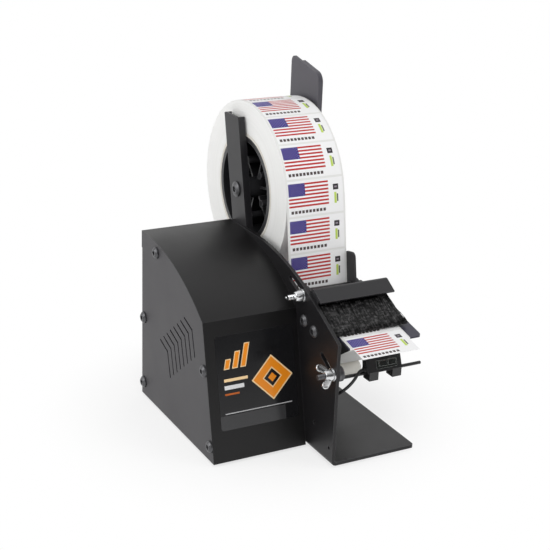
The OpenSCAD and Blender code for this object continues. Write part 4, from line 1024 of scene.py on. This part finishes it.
def make_wing_nut(name, centre, turn, body, node):
    """A cast nut: a coned body with a shoulder and two wings with rolled rims and sunk faces."""
    work = Builder()
    c, d = unit(turn)

    def place(out, way, side):
        """out along the stud, way along the wings, side across them"""
        return (NUT_FACE - out, centre[0] - way * d - side * c, centre[1] + way * c - side * d)

    lathe(work, centre, [(NUT_FACE - x, r) for x, r in (
        (0.0, 2.5), (0.0, 5.1), (0.4, 5.5), (2.2, 5.45), (4.6, 4.7), (6.6, 4.1), (7.0, 3.7),
        (7.0, 2.5))], 40)
    loop = smooth_path([Vector((*p, 0)) for p in WING + WING[:1]], 3)[:-1]
    middle = sum(loop, Vector((0, 0, 0))) / len(loop)
    for sign in (1, -1):
        rings = []
        for share, side in ((0.5, -0.62), (0.6, -0.7), (0.72, -1.12), (0.84, -1.2), (0.95, -0.95),
                            (1.0, -0.45), (1.0, 0.45), (0.95, 0.95), (0.84, 1.2), (0.72, 1.12),
                            (0.6, 0.7), (0.5, 0.62)):
            spots = [middle + (p - middle) * share for p in loop]
            rings.append(work.ring([place(p.y, sign * p.x, side) for p in spots]))
        work.skin(rings)
    piece(name, work.mesh(name), zinc, body, "zinc_steel", node, smooth=50)


make_stud("brush_stud_threaded", BRUSH_AT,
          [(1.9, STUD_R), (1.9, 3.0), (3.5, 3.0), (3.9, 2.6), (3.9, 0.3)], zinc, "brush_clamp",
          "zinc_steel", "brush_stud")
make_stud("sensor_stud_threaded", SENSOR_AT,
          [(0.2, STUD_R), (0.2, 6.6), (0.6, 7.0), (4.5, 7.0), (5, 6.5), (5, 0.3)], oxide_screw,
          "sensor_arm", "black_oxide_screw", "sensor_stud", 48)
make_wing_nut("brush_wing_nut_cast", BRUSH_AT, 67, "brush_nut", "brush_wing_nut")
make_wing_nut("sensor_wing_nut_cast", SENSOR_AT, -45, "sensor_nut", "sensor_wing_nut")


# ---------------------------------------------------------------- pinch spring
COIL_R, COIL_TURNS, COIL_STEPS = 1.8, 18, 360
WIRE_R = 0.3


def spring_hook(centre, radius, up):
    """An open loop round a post at one end of the spring."""
    for k in range(14):
        c, d = unit(-70 + 300 * k / 13)
        yield Vector((SPRING_X, centre[0] - radius * c, centre[1] + up * radius * d))


def make_spring():
    """Tension spring: a hook round the post, closed curls and a hook round the arm's peg."""
    low, high = HOOK_AT[1] + 2.4, POST_AT[1] - 2.6
    line = list(spring_hook(POST_AT, 1.9, 1))[::-1]
    for k in range(COIL_STEPS + 1):
        t = 1 - k / COIL_STEPS
        c, d = unit(360 * COIL_TURNS * t)
        line.append(Vector((SPRING_X + COIL_R * c, HOOK_AT[0] + COIL_R * d,
                            low + (high - low) * t)))
    line += spring_hook(HOOK_AT, 1.6, -1)
    work = Builder()
    tube(work, line, WIRE_R, 8)
    thing = piece("pinch_spring_wire", work.mesh("pinch_spring_wire"), spring_steel, None,
                  "spring_steel", "pinch_spring", smooth=60)
    at(SPRING_X, POST_AT[0], SPRING_STILL_Z)
    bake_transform(thing)


make_spring()


# ---------------------------------------------------------------- bristles
STRANDS, STRAND_SEED, STRAND_POINTS, STRAND_SIDES = 1500, 11, 8, 3
ROW_SQUEEZE = 0.2
# how far a strand in the middle row may reach over the web, and how that grows with its row
REACH_MIDDLE, REACH_PER_ROW, REACH_GAP = 0.0387, 2.904, 0.0002


def make_bristle_look():
    """Black nylon strands: gloss changes from strand to strand, and glints are painted into the
    colour as lighter streaks and flecks.
    """
    material, tree, shader = blank("bristle_nylon")
    place = object_place(tree)
    across = vector_math(tree, "MULTIPLY", place, (1.0, 0.06, 0.06))
    strand = noise(tree, across, 1500.0, 1.0)
    rows = vector_math(tree, "MULTIPLY", place, (0.35, 1.0, 1.0))
    painted_glint_fleck = noise(tree, rows, 560.0, 1.0)
    # painted highlight: the strand and fleck noise lighten the colour as glints
    share = ((strand - 0.5) * 4.0 + (painted_glint_fleck - 0.5) * 5.0 + 0.05).clamped()
    plug(tree, shader, Base_Color=layered(tree, (0.004, 0.004, 0.004), (0.1, 0.098, 0.1), share),
         Roughness=(0.42 - share * 0.12).clamped(), Specular_IOR_Level=0.6)
    return material


def bristle_tree(look):
    """Strands set along the backing: count, length, thickness, spread, wave and seed."""
    inputs = [
        ("Geometry", "NodeSocketGeometry", None), ("Count", "NodeSocketInt", STRANDS),
        ("Width", FLOAT, 0.0686), ("Depth", FLOAT, 0.0048), ("Length", FLOAT, 0.0368),
        ("Thickness", FLOAT, 0.00027), ("Wave", FLOAT, 0.0016), ("Fan", FLOAT, 0.0034),
        ("Seed", "NodeSocketInt", STRAND_SEED),
    ]
    tree, given, made = group("bristle_rows", "GeometryNodeTree", inputs,
                              [("Geometry", "NodeSocketGeometry")])
    width, depth = Num(tree, given.outputs["Width"]), Num(tree, given.outputs["Depth"])
    length = Num(tree, given.outputs["Length"])

    def chance(low, high, salt):
        node = add(tree, "FunctionNodeRandomValue", {"data_type": "FLOAT"})
        node.inputs[2].default_value = low
        node.inputs[3].default_value = high
        join(tree, Num(tree, given.outputs["Seed"]) + float(salt), node.inputs["Seed"])
        return Num(tree, node.outputs[1])

    def vector(x, y, z):
        node = tree.nodes.new("ShaderNodeCombineXYZ")
        for value, slot in zip((x, y, z), node.inputs):
            join(tree, value, slot)
        return node.outputs[0]

    # each strand's place along the backing, its row and its length, which ends over the web
    index = Num(tree, add(tree, "GeometryNodeInputIndex").outputs[0])
    count = Num(tree, given.outputs["Count"])
    share = (index + chance(0.0, 1.0, 1)) / count
    row = chance(-0.5, 0.5, 2) * depth
    reach = length * chance(0.93, 1.0, 3)
    room = (row * (1 - ROW_SQUEEZE) - REACH_GAP) * REACH_PER_ROW + REACH_MIDDLE
    reach = reach.make("MINIMUM", room)
    fan = share.make("POWER", 6.0)
    points = add(tree, "GeometryNodePoints", Count=given.outputs["Count"],
                 Position=vector(share * width, row, 0.0005))
    stored = {"reach": reach, "row": row, "fan": fan, "phase": chance(0, 6.28, 4)}
    source = points.outputs[0]
    for name, value in stored.items():
        source = add(tree, "GeometryNodeStoreNamedAttribute", {"data_type": "FLOAT"},
                     Geometry=source, Name=name, Value=value).outputs[0]
    # one strand, a thin three-sided tube of unit length
    spine = add(tree, "GeometryNodeMeshLine", {"mode": "END_POINTS"}, Count=STRAND_POINTS)
    spine.inputs[2].default_value = (0, 0, 0)
    spine.inputs[3].default_value = (0, 0, 1)
    curve = add(tree, "GeometryNodeMeshToCurve", Mesh=spine.outputs[0])
    section = add(tree, "GeometryNodeCurvePrimitiveCircle", Resolution=STRAND_SIDES,
                  Radius=given.outputs["Thickness"])
    strand = add(tree, "GeometryNodeCurveToMesh", Curve=curve.outputs[0],
                 Profile_Curve=section.outputs[0], Fill_Caps=True)
    copies = add(tree, "GeometryNodeInstanceOnPoints", Points=source, Instance=strand.outputs[0],
                 Rotation=vector(0.0, 0.0, chance(0.0, 6.28, 5)))
    real = add(tree, "GeometryNodeRealizeInstances", Geometry=copies.outputs[0])

    def kept(name):
        return Num(tree, add(tree, "GeometryNodeInputNamedAttribute", {"data_type": "FLOAT"},
                             Name=name).outputs[0])

    # the unit strand is drawn out to its reach, leans with its row, fans and waves to its tip
    spot = add(tree, "ShaderNodeSeparateXYZ",
               Vector=add(tree, "GeometryNodeInputPosition").outputs[0])
    t = Num(tree, spot.outputs["Z"])
    tip = t * t
    phase = kept("phase")
    wave = Num(tree, given.outputs["Wave"])
    bend = (t * 9.0 + phase).make("SINE") * wave * t * 0.6
    lean = phase.make("COSINE") * wave * t
    shift_x = bend + lean + kept("fan") * Num(tree, given.outputs["Fan"]) * tip
    shift_y = kept("row") * t * -ROW_SQUEEZE + kept("fan") * t * 0.001 + (
        t * 7.0 + phase * 1.7).make("SINE") * t * 0.00015
    move = add(tree, "GeometryNodeSetPosition", Geometry=real.outputs[0],
               Offset=vector(shift_x, shift_y, t * kept("reach") - t))
    end = move.outputs[0]
    for name in stored:
        end = add(tree, "GeometryNodeRemoveAttribute", Geometry=end, Name=name).outputs[0]
    paint = add(tree, "GeometryNodeSetMaterial", Geometry=end, Material=look)
    plug(tree, made, Geometry=paint.outputs[0])
    return tree


def make_bristles():
    look = make_bristle_look()
    tree = bristle_tree(look)
    host = new_object("bristle_host", bpy.data.meshes.new("bristle_host"))
    modifier = host.modifiers.new("bristle_rows", "NODES")
    modifier.node_group = tree
    sockets = {item.name: item.identifier for item in tree.interface.items_tree
               if item.in_out == "INPUT"}
    modifier[sockets["Count"]] = STRANDS
    modifier[sockets["Seed"]] = STRAND_SEED
    host.data.update()
    bpy.context.view_layer.update()
    mesh = evaluated_mesh(host)
    bpy.data.objects.remove(host)
    # local X runs across, Y stands off the slope and Z runs down the strands
    c, d = unit(BRUSH_SLOPE)
    turn = Matrix(((1, 0, 0), (0, -d, -c), (0, c, -d))).to_4x4()
    mesh.transform(Matrix.Translation(at(BRISTLE_X, *BRUSH_ROOT)) @ turn)
    mesh.name = "bristle_strands"
    piece("bristle_strands", mesh, look, "brush", "bristle_nylon", "brush_bristles", smooth=180)


make_bristles()
